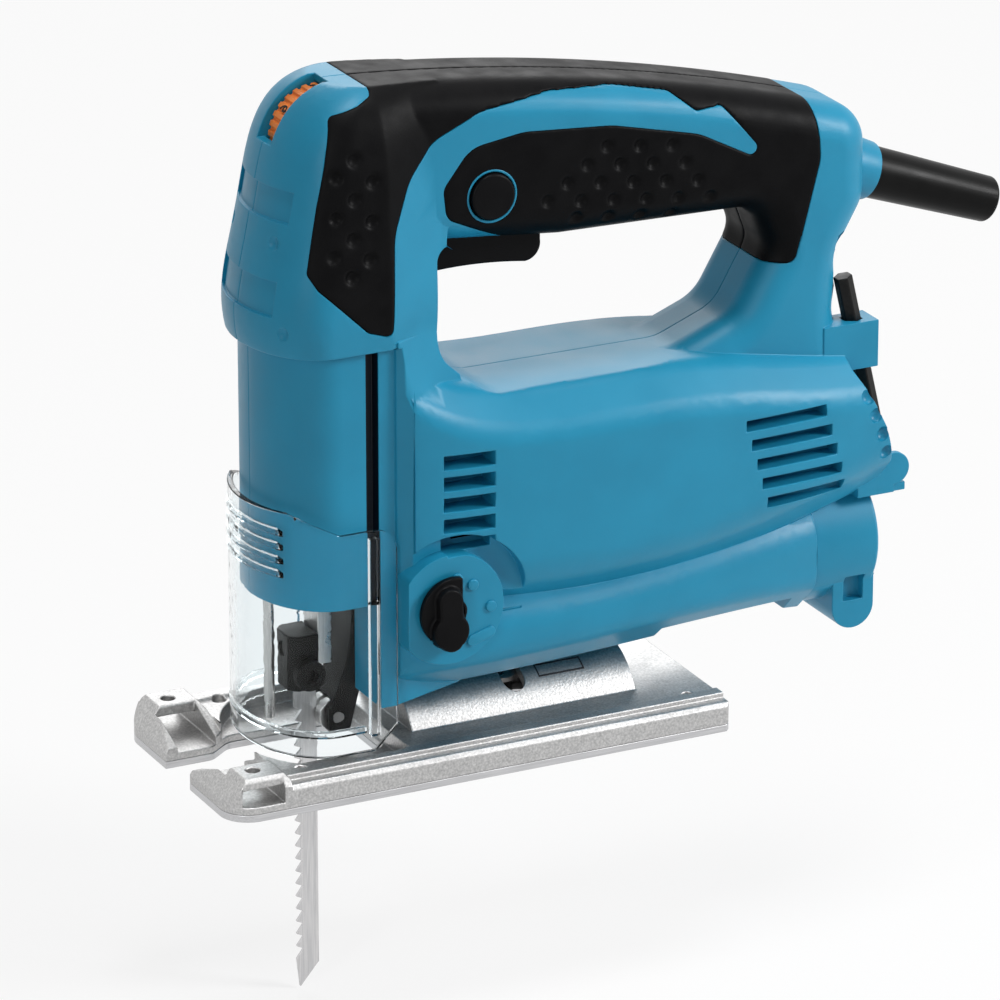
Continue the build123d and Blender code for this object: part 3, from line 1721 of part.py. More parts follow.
with BuildPart() as base_screws:
    with Locations(*[(x, y, sole_thickness - base_screw_head_height) for x, y in base_screw_spots]):
        Cylinder(base_screw_head_radius, base_screw_head_height, align=base_up)
    with Locations(*[(x, y, sole_thickness) for x, y in base_screw_spots]):
        Cylinder(base_screw_radius, base_screw_top - sole_thickness, align=base_up)
finish(base_screws, "base_screws")

# Bolt and curved washer that clamp the saddle to the housing
washer_top = saddle_radius - saddle_wall - saddle_gap
washer_foot = washer_top - seat_washer_thickness
with BuildPart() as seat_washer:
    with Locations((seat_bolt_x, 0, washer_foot)):
        Cylinder(seat_washer_radius, seat_washer_thickness, align=base_up)
    with Locations(Location((seat_bolt_x, 0, 0), (0, 90, 0))):
        Cylinder(washer_top, 2 * seat_washer_radius, mode=Mode.INTERSECT)
    with Locations((seat_bolt_x, 0, washer_foot)):
        Cylinder(seat_bolt_radius + screw_fit, seat_washer_thickness, align=base_up, mode=Mode.SUBTRACT)
finish(seat_washer, "seat_washer")

with BuildPart() as seat_bolt:
    with Locations((seat_bolt_x, 0, washer_foot - seat_bolt_head_height)):
        Cylinder(seat_bolt_head_radius, seat_bolt_head_height, align=base_up)
    with Locations((seat_bolt_x, 0, washer_foot)):
        Cylinder(seat_bolt_radius, seat_bolt_length, align=base_up)
    with BuildSketch(Plane.XY.offset(washer_foot - seat_bolt_head_height)):
        with Locations((seat_bolt_x, 0)):
            RegularPolygon(key_across / 2 + screw_fit, 6, major_radius=False)
    extrude(amount=seat_bolt_head_height / 2, mode=Mode.SUBTRACT)
finish(seat_bolt, "seat_bolt")
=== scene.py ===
import bpy
import json
from math import cos, radians, sin
from mathutils import Matrix, Vector


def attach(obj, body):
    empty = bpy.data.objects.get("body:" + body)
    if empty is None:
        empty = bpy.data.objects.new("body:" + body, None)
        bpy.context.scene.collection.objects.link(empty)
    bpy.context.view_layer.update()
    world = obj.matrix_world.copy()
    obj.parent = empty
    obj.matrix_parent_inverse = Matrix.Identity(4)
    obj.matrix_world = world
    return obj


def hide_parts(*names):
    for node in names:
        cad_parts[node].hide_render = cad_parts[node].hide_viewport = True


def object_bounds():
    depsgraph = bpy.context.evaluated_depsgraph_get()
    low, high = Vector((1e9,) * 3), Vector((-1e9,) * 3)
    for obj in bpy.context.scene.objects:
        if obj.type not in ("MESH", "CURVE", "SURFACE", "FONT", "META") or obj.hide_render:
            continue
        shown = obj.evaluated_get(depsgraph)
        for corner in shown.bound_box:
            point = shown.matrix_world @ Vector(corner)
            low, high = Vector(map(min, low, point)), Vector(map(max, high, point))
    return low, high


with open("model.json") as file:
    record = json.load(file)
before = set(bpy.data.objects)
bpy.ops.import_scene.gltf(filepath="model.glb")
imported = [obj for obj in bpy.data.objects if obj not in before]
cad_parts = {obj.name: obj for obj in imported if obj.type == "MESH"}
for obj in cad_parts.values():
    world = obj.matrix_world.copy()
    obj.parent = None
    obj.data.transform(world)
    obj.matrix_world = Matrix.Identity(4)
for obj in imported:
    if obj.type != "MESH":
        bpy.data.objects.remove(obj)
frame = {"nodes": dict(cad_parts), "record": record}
cadLow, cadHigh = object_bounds()
print("frame loaded,", len(frame["nodes"]), "nodes")


# handling of objects

def clearSelection():
    if bpy.context.object and bpy.context.object.mode != "OBJECT":
        bpy.ops.object.mode_set(mode="OBJECT")
    bpy.ops.object.select_all(action="DESELECT")


def pick(piece):
    clearSelection()
    piece.select_set(True)
    bpy.context.view_layer.objects.active = piece


def applyAll(piece):
    pick(piece)
    for modifier in list(piece.modifiers):
        bpy.ops.object.modifier_apply(modifier=modifier.name)


def settle(piece):    # place and size go into the mesh
    pick(piece)
    bpy.ops.object.transform_apply(location=True, rotation=True, scale=True)


def editAll(piece):    # edit mode, with the whole mesh selected
    pick(piece)
    bpy.ops.object.mode_set(mode="EDIT")
    bpy.ops.mesh.select_all(action="SELECT")


def leaveEdit():
    bpy.ops.object.mode_set(mode="OBJECT")


shading = {"sharpFrom": 40}


def smoothByAngle(piece):    # sharp only where faces meet at more than the angle
    pick(piece)
    bpy.ops.object.shade_smooth_by_angle(angle=radians(shading["sharpFrom"]))


def joinAll(pieces):    # into the first of them
    pick(pieces[0])
    for piece in pieces:
        piece.select_set(True)
    bpy.ops.object.join()
    return pieces[0]


copying = {"mergeWithin": 0.000002}


def copyOfNode(nodeName, pieceName):    # a merged copy, to be refined
    piece = bpy.data.objects.new(pieceName, frame["nodes"][nodeName].data.copy())
    bpy.context.collection.objects.link(piece)
    piece.data.materials.clear()
    pick(piece)
    bpy.ops.mesh.customdata_custom_splitnormals_clear()
    editAll(piece)
    bpy.ops.mesh.remove_doubles(threshold=copying["mergeWithin"])
    leaveEdit()
    return piece


def finishPiece(piece, finish, body, replaced=None):
    piece.data.materials.clear()
    piece.data.materials.append(finish)
    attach(piece, body)
    if replaced:
        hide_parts(replaced)


# camera, as the photo was taken

photoView = {
    "azimuth": -26.382, "elevation": 20.721, "away": 2.0, "right": 0.021199, "up": 0.068012,
    "lens": 245.716, "sensor": 36, "nearest": 0.05, "farthest": 30,
}


def axesAt(x, y, z, place):    # a matrix from three axes and a place
    rows = [(x[k], y[k], z[k], place[k]) for k in range(3)]
    return Matrix((*rows, (0, 0, 0, 1)))


def placeCamera(s):
    azimuth = radians(s["azimuth"])
    elevation = radians(s["elevation"])
    back = Vector((sin(azimuth) * cos(elevation), -cos(azimuth) * cos(elevation), sin(elevation)))
    right = Vector((cos(azimuth), sin(azimuth), 0))
    up = back.cross(right)
    spot = back * s["away"] + right * s["right"] + up * s["up"]
    bpy.ops.object.camera_add()
    camera = bpy.context.object
    camera.data.lens = s["lens"]
    camera.data.sensor_width = s["sensor"]
    camera.data.clip_start = s["nearest"]
    camera.data.clip_end = s["farthest"]
    camera.matrix_world = axesAt(right, up, back, spot)
    bpy.context.scene.camera = camera


clearSelection()
placeCamera(photoView)
print("camera placed")


# floor, background and studio light

studio = {
    "floorSize": 9, "floorDrop": 0.0006, "floorColour": (0.86, 0.86, 0.86, 1),
    "floorRough": 0.9, "floorGloss": 0.1, "floorWhite": 0.80,
    "ambient": 0.13, "white": (1, 1, 1, 1), "aim": (0.03, 0, 0.10),
}
lamps = [
    {"name": "keyPanel", "at": (1.45, -0.95, 0.95), "size": (0.5, 0.6), "power": 27.0},
    {"name": "frontPanel", "at": (-1.20, -1.00, 0.70), "size": (0.25, 0.9), "power": 4.6},
    {"name": "topPanel", "at": (0.1, -0.20, 1.60), "size": (0.8, 0.5), "power": 12.0},
    {"name": "backPanel", "at": (0.5, 1.35, 0.90), "size": (0.9, 0.7), "power": 6.0},
]


def seenDirectly(tree):    # camera, glossy and transmission rays
    rays = tree.nodes.new("ShaderNodeLightPath")
    first = tree.nodes.new("ShaderNodeMath")
    first.operation = "MAXIMUM"
    second = tree.nodes.new("ShaderNodeMath")
    second.operation = "MAXIMUM"
    tree.links.new(rays.outputs["Is Camera Ray"], first.inputs[0])
    tree.links.new(rays.outputs["Is Glossy Ray"], first.inputs[1])
    tree.links.new(first.outputs[0], second.inputs[0])
    tree.links.new(rays.outputs["Is Transmission Ray"], second.inputs[1])
    return second.outputs[0]


def layFloor(s):
    bpy.ops.mesh.primitive_plane_add(size=s["floorSize"], location=(0, 0, cadLow.z - s["floorDrop"]))
    floor = bpy.context.object
    floor.name = "studioFloor"
    settle(floor)
    paint = bpy.data.materials.new("floorPaint")
    paint.use_nodes = True
    tree = paint.node_tree
    shader = tree.nodes["Principled BSDF"]
    shader.inputs["Base Color"].default_value = s["floorColour"]
    shader.inputs["Roughness"].default_value = s["floorRough"]
    shader.inputs["Specular IOR Level"].default_value = s["floorGloss"]
    glow = tree.nodes.new("ShaderNodeEmission")
    blend = tree.nodes.new("ShaderNodeMixShader")
    share = tree.nodes.new("ShaderNodeMath")
    share.operation = "MULTIPLY"
    share.inputs[1].default_value = s["floorWhite"]
    tree.links.new(seenDirectly(tree), share.inputs[0])
    tree.links.new(share.outputs[0], blend.inputs["Fac"])
    tree.links.new(shader.outputs["BSDF"], blend.inputs[1])
    tree.links.new(glow.outputs["Emission"], blend.inputs[2])
    tree.links.new(blend.outputs["Shader"], tree.nodes["Material Output"].inputs["Surface"])
    floor.data.materials.append(paint)


def hangLamps(s, panels):
    for lamp in panels:
        bpy.ops.object.light_add(type="AREA", location=lamp["at"])
        panel = bpy.context.object
        panel.name = lamp["name"]
        panel.data.shape = "RECTANGLE"
        panel.data.size, panel.data.size_y = lamp["size"]
        panel.data.energy = lamp["power"]
        aim = Vector(s["aim"]) - Vector(lamp["at"])
        panel.rotation_euler = aim.to_track_quat("-Z", "Y").to_euler()


def lightWorld(s):    # white where it is seen, dim where it only lights
    world = bpy.data.worlds.new("studioWorld")
    bpy.context.scene.world = world
    world.use_nodes = True
    tree = world.node_tree
    tree.nodes.clear()
    ambient = tree.nodes.new("ShaderNodeBackground")
    ambient.inputs["Color"].default_value = s["white"]
    ambient.inputs["Strength"].default_value = s["ambient"]
    white = tree.nodes.new("ShaderNodeBackground")
    white.inputs["Color"].default_value = s["white"]
    blend = tree.nodes.new("ShaderNodeMixShader")
    out = tree.nodes.new("ShaderNodeOutputWorld")
    tree.links.new(seenDirectly(tree), blend.inputs["Fac"])
    tree.links.new(ambient.outputs[0], blend.inputs[1])
    tree.links.new(white.outputs[0], blend.inputs[2])
    tree.links.new(blend.outputs[0], out.inputs["Surface"])


layFloor(studio)
hangLamps(studio, lamps)
lightWorld(studio)
bpy.context.scene.view_settings.view_transform = "Standard"
print("studio lit")


# finishes

grain = {"detail": 3, "coarse": 4, "fine": 2, "low": 0.3, "high": 0.7, "height": 0.0002}
moulded = {"darkAt": 0.35, "lightAt": 0.65, "mottleDepth": 0.05, "mottleHeight": 0.001}
metal = {"darkAt": 0.25, "lightAt": 0.75, "gloss": 0.5}


def newFinish(name):
    finish = bpy.data.materials.new(name)
    finish.use_nodes = True
    tree = finish.node_tree
    place = tree.nodes.new("ShaderNodeTexCoord")
    return finish, tree, tree.nodes["Principled BSDF"], place.outputs["Object"]


def stretched(tree, place, scale):
    mapping = tree.nodes.new("ShaderNodeMapping")
    mapping.inputs["Scale"].default_value = scale
    tree.links.new(place, mapping.inputs["Vector"])
    return mapping.outputs["Vector"]


def noise(tree, place, scale, detail):
    texture = tree.nodes.new("ShaderNodeTexNoise")
    texture.inputs["Scale"].default_value = scale
    texture.inputs["Detail"].default_value = detail
    tree.links.new(place, texture.inputs["Vector"])
    return texture.outputs["Fac"]


def ramp(tree, value, stops):
    node = tree.nodes.new("ShaderNodeValToRGB")
    for element, (position, colour) in zip(node.color_ramp.elements, stops):
        element.position = position
        element.color = (*colour, 1)
    tree.links.new(value, node.inputs["Fac"])
    return node.outputs["Color"]


def spread(tree, value, low, high):
    node = tree.nodes.new("ShaderNodeMapRange")
    node.inputs["From Min"].default_value = grain["low"]
    node.inputs["From Max"].default_value = grain["high"]
    node.inputs["To Min"].default_value = low
    node.inputs["To Max"].default_value = high
    tree.links.new(value, node.inputs["Value"])
    return node.outputs["Result"]


def roughen(tree, shader, layers):    # bump layers: height, strength, distance
    last = None
    for height, strength, distance in layers:
        bump = tree.nodes.new("ShaderNodeBump")
        bump.inputs["Strength"].default_value = strength
        bump.inputs["Distance"].default_value = distance
        tree.links.new(height, bump.inputs["Height"])
        if last:
            tree.links.new(last, bump.inputs["Normal"])
        last = bump.outputs["Normal"]
    tree.links.new(last, shader.inputs["Normal"])


def mouldedFinish(s):    # plastics and rubbers: spark grain, faint mottling
    finish, tree, shader, place = newFinish(s["name"])
    mottle = noise(tree, place, s["mottle"], grain["coarse"])
    spark = noise(tree, place, s["grain"], grain["fine"])
    tones = [(moulded["darkAt"], s["dark"]), (moulded["lightAt"], s["colour"])]
    tree.links.new(ramp(tree, mottle, tones), shader.inputs["Base Color"])
    tree.links.new(spread(tree, mottle, *s["roughness"]), shader.inputs["Roughness"])
    shader.inputs["Specular IOR Level"].default_value = s["gloss"]
    sparkLayer = (spark, s["grainDepth"], grain["height"])
    roughen(tree, shader, [sparkLayer, (mottle, moulded["mottleDepth"], moulded["mottleHeight"])])
    return finish


def metalFinish(s):    # metals: lay lines or cast grain, dull and bright patches
    finish, tree, shader, place = newFinish(s["name"])
    lines = noise(tree, stretched(tree, place, s["lay"]), s["grain"], grain["detail"])
    patches = noise(tree, place, s["patch"], grain["coarse"])
    tones = [(metal["darkAt"], s["dark"]), (metal["lightAt"], s["colour"])]
    tree.links.new(ramp(tree, lines, tones), shader.inputs["Base Color"])
    tree.links.new(spread(tree, patches, *s["roughness"]), shader.inputs["Roughness"])
    shader.inputs["Metallic"].default_value = s["metal"]
    shader.inputs["Specular IOR Level"].default_value = s.get("gloss", metal["gloss"])
    roughen(tree, shader, [(lines, s["grainDepth"], grain["height"])])
    return finish


paintedTrackShade = {    # painted shade in the cover's tracks: middle and reach along each axis
    "box": {"X": (-0.029, 0.0021), "Y": (0, 0.0247), "Z": (0.09225, 0.03825)},
    "colour": (0.001, 0.006, 0.014, 1),
}


def paintTrackShade(finish, s):    # painted shade: a dark colour mixed into the blue where the cover's tracks lie in deep shade
    tree = finish.node_tree
    shader = tree.nodes["Principled BSDF"]
    place = tree.nodes.new("ShaderNodeTexCoord")
    axes = tree.nodes.new("ShaderNodeSeparateXYZ")
    tree.links.new(place.outputs["Object"], axes.inputs["Vector"])
    track = None
    for axis, (middle, reach) in s["box"].items():
        near = tree.nodes.new("ShaderNodeMath")
        near.operation = "COMPARE"
        near.inputs[1].default_value = middle
        near.inputs[2].default_value = reach
        tree.links.new(axes.outputs[axis], near.inputs[0])
        if track is None:
            track = near.outputs[0]
            continue
        both = tree.nodes.new("ShaderNodeMath")
        both.operation = "MULTIPLY"
        tree.links.new(track, both.inputs[0])
        tree.links.new(near.outputs[0], both.inputs[1])
        track = both.outputs[0]
    # the painted shade colour, mixed in over the box
    shade = tree.nodes.new("ShaderNodeMixRGB")
    shade.inputs["Color2"].default_value = s["colour"]
    tree.links.new(shader.inputs["Base Color"].links[0].from_socket, shade.inputs["Color1"])
    tree.links.new(track, shade.inputs["Fac"])
    tree.links.new(shade.outputs["Color"], shader.inputs["Base Color"])


housingBlue = mouldedFinish({
    "name": "housingBlue", "gloss": 0.28, "colour": (0.012, 0.240, 0.400),
    "dark": (0.010, 0.220, 0.370), "mottle": 45, "grain": 2600, "grainDepth": 0.10,
    "roughness": (0.34, 0.44),
})
# painted shade darkens the housing blue in the cover's tracks
paintTrackShade(housingBlue, paintedTrackShade)
gripBlack = mouldedFinish({
    "name": "gripBlack", "gloss": 0.06, "colour": (0.0032, 0.0032, 0.0036),
    "dark": (0.002, 0.002, 0.0024), "mottle": 120, "grain": 2200, "grainDepth": 0.16,
    "roughness": (0.36, 0.52),
})
dialOrange = mouldedFinish({
    "name": "dialOrange", "gloss": 0.4, "colour": (0.86, 0.25, 0.045), "dark": (0.78, 0.21, 0.035),
    "mottle": 200, "grain": 3000, "grainDepth": 0.08, "roughness": (0.38, 0.48),
})
controlBlack = mouldedFinish({
    "name": "controlBlack", "gloss": 0.07, "colour": (0.004, 0.004, 0.0045),
    "dark": (0.0025, 0.0025, 0.003), "mottle": 90, "grain": 2600, "grainDepth": 0.12,
    "roughness": (0.30, 0.42),
})
sleeveBlack = mouldedFinish({
    "name": "sleeveBlack", "gloss": 0.10, "colour": (0.003, 0.003, 0.003),
    "dark": (0.002, 0.002, 0.002), "mottle": 80, "grain": 1800, "grainDepth": 0.08,
    "roughness": (0.28, 0.40),
})
brushCarbon = mouldedFinish({
    "name": "brushCarbon", "gloss": 0.2, "colour": (0.03, 0.03, 0.03),
    "dark": (0.015, 0.015, 0.015), "mottle": 300, "grain": 3000, "grainDepth": 0.3,
    "roughness": (0.55, 0.75),
})
castAluminium = metalFinish({
    "name": "castAluminium", "colour": (0.60, 0.595, 0.59), "dark": (0.34, 0.34, 0.34),
    "lay": (1, 1, 1), "grain": 1500, "grainDepth": 0.30, "patch": 60, "metal": 1.0,
    "roughness": (0.34, 0.50),
})
groundSteel = metalFinish({
    "name": "groundSteel", "colour": (0.62, 0.61, 0.60), "dark": (0.46, 0.455, 0.45),
    "lay": (1, 1, 0.05), "grain": 2500, "grainDepth": 0.10, "patch": 150, "metal": 1.0,
    "roughness": (0.24, 0.38),
})
soleSteel = metalFinish({
    "name": "soleSteel", "colour": (0.60, 0.60, 0.61), "dark": (0.46, 0.46, 0.47),
    "lay": (0.03, 1, 1), "grain": 2500, "grainDepth": 0.08, "patch": 90, "metal": 1.0,
    "roughness": (0.26, 0.42),
})
bladeSteel = metalFinish({
    "name": "bladeSteel", "colour": (0.70, 0.69, 0.69), "dark": (0.50, 0.50, 0.51),
    "lay": (1, 1, 0.03), "grain": 3000, "grainDepth": 0.10, "patch": 110, "metal": 1.0,
    "roughness": (0.30, 0.45),
})
blackenedSteel = metalFinish({
    "name": "blackenedSteel", "colour": (0.012, 0.0115, 0.011), "dark": (0.005, 0.005, 0.005),
    "lay": (1, 1, 1), "grain": 900, "grainDepth": 0.18, "patch": 200, "metal": 0.15, "gloss": 0.15,
    "roughness": (0.30, 0.46),
})
coreIron = metalFinish({
    "name": "coreIron", "colour": (0.22, 0.22, 0.23), "dark": (0.10, 0.10, 0.11),
    "lay": (1, 0.02, 0.02), "grain": 1800, "grainDepth": 0.5, "patch": 100, "metal": 1.0,
    "roughness": (0.42, 0.60),
})
windingCopper = metalFinish({
    "name": "windingCopper", "colour": (0.62, 0.27, 0.11), "dark": (0.36, 0.13, 0.05),
    "lay": (0.05, 1, 1), "grain": 1600, "grainDepth": 0.6, "patch": 120, "metal": 1.0,
    "roughness": (0.28, 0.40),
})
pressedBrass = metalFinish({
    "name": "pressedBrass", "colour": (0.72, 0.53, 0.22), "dark": (0.54, 0.38, 0.14),
    "lay": (1, 1, 1), "grain": 900, "grainDepth": 0.12, "patch": 120, "metal": 1.0,
    "roughness": (0.28, 0.42),
})


clearCover = {
    "name": "clearCover", "tint": (0.93, 0.965, 0.975, 1), "ior": 1.32, "roughness": (0.015, 0.06),
    "shine": (0.25, 0.25, 0.25, 1), "lay": (1, 1, 0.25), "flow": 60, "flowDepth": 0.04, "flowHeight": 0.001,
}


def clearFinish(s):    # polished clear moulding with faint flow marks
    finish, tree, shader, place = newFinish(s["name"])
    flow = noise(tree, stretched(tree, place, s["lay"]), s["flow"], grain["fine"])
    shader.inputs["Base Color"].default_value = s["tint"]
    shader.inputs["Transmission Weight"].default_value = 1.0
    shader.inputs["IOR"].default_value = s["ior"]
    shader.inputs["Specular Tint"].default_value = s["shine"]
    tree.links.new(spread(tree, flow, *s["roughness"]), shader.inputs["Roughness"])
    roughen(tree, shader, [(flow, s["flowDepth"], s["flowHeight"])])
    return finish


coverClear = clearFinish(clearCover)
slotFinish = {
    "housing": housingBlue, "soft_grip": gripBlack, "dial": dialOrange, "black_plastic": controlBlack,
    "clear_plastic": coverClear, "cast_aluminium": castAluminium, "steel": groundSteel,
    "sole_steel": soleSteel, "blade_steel": bladeSteel, "blackened_steel": blackenedSteel,
    "core_iron": coreIron, "copper": windingCopper, "brass": pressedBrass, "carbon": brushCarbon,
    "sleeve_rubber": sleeveBlack,
}
nodeSlot = {row["node"]: row["material_slot"] for row in frame["record"]["subparts"]}
bodies = frame["record"]["behaviour"]["bodies"]
nodeBody = {node: body for body, nodes in bodies.items() for node in nodes}
for nodeName, node in frame["nodes"].items():
    finish = slotFinish[nodeSlot[nodeName]]
    if not node.data.materials:
        node.data.materials.append(finish)
    for slot in node.material_slots:
        slot.material = finish
print("finishes made,", len(slotFinish))


# dimples, pressed in from one side

press = {"rounds": 3, "squash": (1, 0.9, 1), "sink": 0.95, "startAway": 0.2}


def modelBall(s):    # the press tool: a ball, flattened a little
    clearSelection()
    bpy.ops.mesh.primitive_ico_sphere_add(subdivisions=press["rounds"], radius=s["radius"])
    ball = bpy.context.object
    editAll(ball)
    bpy.ops.transform.resize(value=press["squash"])
    leaveEdit()
    return ball


def pressDimples(piece, sign, spots, s):    # spots: X and Z of lines from the side that sign names
    ball = modelBall(s)
    tools = []
    bpy.context.view_layer.update()
    for x, z in spots:
        start = Vector((x, sign * press["startAway"], z))
        met, place, normal = piece.ray_cast(start, Vector((0, -sign, 0)))[:3]
        if not met:
            continue
        tool = bpy.data.objects.new("dimpleTool", ball.data.copy())
        bpy.context.collection.objects.link(tool)
        tool.location = place + normal * (s["radius"] * press["sink"] - s["depth"])
        tools.append(tool)
    bpy.data.objects.remove(ball)
    cutter = joinAll(tools)
    settle(cutter)
    cut = piece.modifiers.new("dimples", "BOOLEAN")
    cut.operation = "DIFFERENCE"
    cut.solver = "EXACT"
    cut.object = cutter
    applyAll(piece)
    bpy.data.objects.remove(cutter)


# moulded pieces

def breakEdges(piece, s):    # flats merged, sharp corners rounded a little
    editAll(piece)
    bpy.ops.mesh.dissolve_limited(angle_limit=radians(s["flat"]))
    leaveEdit()
    edge = piece.modifiers.new("edge", "BEVEL")
    edge.limit_method = "ANGLE"
    edge.angle_limit = radians(s["corner"])
    edge.width = s["edge"]
    edge.segments = s["segments"]
    edge.use_clamp_overlap = False


def softSkin(piece, s):    # rubber: an even skin, relaxed and a little proud
    skin = piece.modifiers.new("skin", "REMESH")
    skin.mode = "VOXEL"
    skin.voxel_size = s["voxel"]
    relax = piece.modifiers.new("relax", "SMOOTH")
    relax.factor = s["relaxBy"]
    relax.iterations = s["relax"]
    proud = piece.modifiers.new("proud", "DISPLACE")
    proud.strength = s["proud"]
    proud.mid_level = 0
    applyAll(piece)
    pick(piece)
    bpy.ops.object.shade_smooth()


def smoothFaces(piece):    # large faces stay flat beside narrow rounds
    weigh = piece.modifiers.new("weigh", "WEIGHTED_NORMAL")
    weigh.keep_sharp = True
    smoothByAngle(piece)
    applyAll(piece)


sides = {"left": -1, "right": 1}    # sign of Y
noseDimples = {
    "radius": 0.0030, "depth": 0.0008,
    "at": [(-0.0515, 0.1888), (-0.0538, 0.1630), (-0.0545, 0.1383)],
}
rearNotches = {
    "radius": 0.0024, "depth": 0.0020, "side": "left",
    "at": [(0.1302, 0.0925), (0.1328, 0.0865), (0.1354, 0.0802), (0.1370, 0.0740)],
}
housingMake = {"flat": 0.2, "corner": 40, "edge": 0.00035, "segments": 2}
for side, sign in sides.items():
    shell = copyOfNode(side + "_housing", side + "HousingShell")
    breakEdges(shell, housingMake)
    applyAll(shell)
    pressDimples(shell, sign, noseDimples["at"], noseDimples)
    if side == rearNotches["side"]:
        pressDimples(shell, sign, rearNotches["at"], rearNotches)
    smoothFaces(shell)
    finishPiece(shell, housingBlue, "housing", side + "_housing")
    print(side, "housing shell,", len(shell.data.polygons), "faces")

millimetre = 0.001
gripMake = {"voxel": 0.00045, "relax": 10, "relaxBy": 0.5, "proud": 0.00012}
padDimples = {    # places in millimetres
    "radius": 0.0027, "depth": 0.0015,
    "at": [
        (-34.0, 187.9), (-39.6, 183.3), (-28.7, 181.2), (-34.4, 176.7), (-40.3, 171.8),
        (-29.2, 169.7), (-35.1, 165.2), (-41.3, 160.8), (-30.2, 158.8), (-36.0, 154.4),
    ],
}
handleDimples = {    # places in millimetres, rows as start and count
    "radius": 0.0025, "depth": 0.0014, "first": (48.4, 178.6), "along": (10.5, -1.25), "down": (-6.3, -4.6),
    "rows": [(0, 3), (0, 4), (0, 5), (0, 6), (1.5, 4)],
}


def handleSpots(s):
    spots = []
    for row, (start, count) in enumerate(s["rows"]):
        for k in range(count):
            shift = k + start
            x = s["first"][0] + row * s["down"][0] + shift * s["along"][0]
            z = s["first"][1] + row * s["down"][1] + shift * s["along"][1]
            spots.append((x * millimetre, z * millimetre))
    return spots


for side, sign in sides.items():
    pad = copyOfNode(side + "_grip", side + "GripPad")
    padSpots = [(x * millimetre, z * millimetre) for x, z in padDimples["at"]]
    pressDimples(pad, sign, padSpots, padDimples)
    pressDimples(pad, sign, handleSpots(handleDimples), handleDimples)
    softSkin(pad, gripMake)
    finishPiece(pad, gripBlack, "housing", side + "_grip")
    print(side, "grip pad,", len(pad.data.polygons), "faces")


# hard pieces: flats merged, edges broken

edgeMake = {"flat": 0.6, "corner": 35, "segments": 2}    # unless a piece says otherwise
edged = {
    "base": {"edge": 0.00035, "segments": 3},
    "sole_plate": {"edge": 0.0002},
    "base_screws": {"edge": 0.0002},
    "saw_blade": {"edge": 0.00006, "segments": 1},
    "blade_clamp": {"edge": 0.0004, "segments": 3},
    "clamp_screws": {"edge": 0.0002},
    "slider": {"edge": 0.0003},
    "roller_arm": {"edge": 0.0003},
    "guide_roller": {"edge": 0.0002},
    "orbit_lever": {"edge": 0.0005, "segments": 3},
    "trigger": {"edge": 0.0007, "segments": 3},
    "lock_button": {"edge": 0.0005, "segments": 3},
    "speed_dial": {"edge": 0.00015},
    "dust_cover": {"edge": 0.0003},
    "wire_guard": {"edge": 0.0002},
    "hex_key": {"edge": 0.0003},
    "cord_sleeve": {"edge": 0.0003},
    "housing_screws": {"edge": 0.0002},
}
for nodeName, make in edged.items():
    words = nodeName.split("_")
    pieceName = words[0] + "".join(word.capitalize() for word in words[1:]) + "Piece"
    piece = copyOfNode(nodeName, pieceName)
    breakEdges(piece, {**edgeMake, **make})
    smoothFaces(piece)
    slotName = nodeSlot[nodeName]
    finishPiece(piece, slotFinish[slotName], nodeBody[nodeName], nodeName)
print("hard pieces edged,", len(edged))


# numerals on the speed dial

dialNumbers = {
    "axis": (-0.033, 0, 0.1882), "radius": 0.0142, "size": 0.0052, "thick": 0.00012,
    "step": 45, "first": 140, "marks": "654321",
}


def dialNumerals(s):
    made = []
    for k, mark in enumerate(s["marks"]):
        clearSelection()
        bpy.ops.object.text_add()
        numeral = bpy.context.object
        numeral.data.body = mark
        numeral.data.align_x = "CENTER"
        numeral.data.align_y = "CENTER"
        numeral.data.size = s["size"]
        numeral.data.extrude = s["thick"]
        bpy.ops.object.convert(target="MESH")
        turn = radians(s["first"] - k * s["step"])
        out = Vector((cos(turn), 0, sin(turn)))
        along = Vector((-sin(turn), 0, cos(turn)))
        across = Vector((0, 1, 0))
        numeral.matrix_world = axesAt(along, across, out, Vector(s["axis"]) + out * s["radius"])
        settle(numeral)
        made.append(numeral)
    numerals = joinAll(made)
    numerals.name = "dialNumerals"
    editAll(numerals)
    bpy.ops.mesh.normals_make_consistent(inside=False)
    leaveEdit()
    return numerals


numberInk = mouldedFinish({
    "name": "numberInk", "gloss": 0.2, "colour": (0.02, 0.015, 0.012), "dark": (0.01, 0.008, 0.006),
    "mottle": 200, "grain": 2000, "grainDepth": 0.05, "roughness": (0.5, 0.6),
})
finishPiece(dialNumerals(dialNumbers), numberInk, "speed_dial")


# raised marks beside the orbit lever: three rounds and a bar

leverMarks = {
    "face": -0.0336, "stand": 0.0007, "radius": 0.0017, "sides": 40, "edge": 0.00035, "segments": 3,
    "rounds": [(-0.0067, 0.0611), (-0.0017, 0.0585), (0.0040, 0.0510)],
    "bar": ((-0.0019, 0.0415), (0.0036, 0.0433)),
}


def roundMark(x, z, s):
    clearSelection()
    bpy.ops.mesh.primitive_cylinder_add(
        vertices=s["sides"], radius=s["radius"], depth=2 * s["stand"],
        location=(x, s["face"], z), rotation=(radians(90), 0, 0))
    mark = bpy.context.object
    settle(mark)
    return mark


def barMark(s):    # a round with one half drawn out
    start, end = s["bar"]
    mark = roundMark(*start, s)
    bpy.ops.object.mode_set(mode="EDIT")
    bpy.ops.mesh.select_all(action="DESELECT")
    leaveEdit()
    for vertex in mark.data.vertices:
        vertex.select = vertex.co.x > start[0]
    bpy.ops.object.mode_set(mode="EDIT")
    bpy.ops.transform.translate(value=(end[0] - start[0], 0, end[1] - start[1]))
    leaveEdit()
    return mark


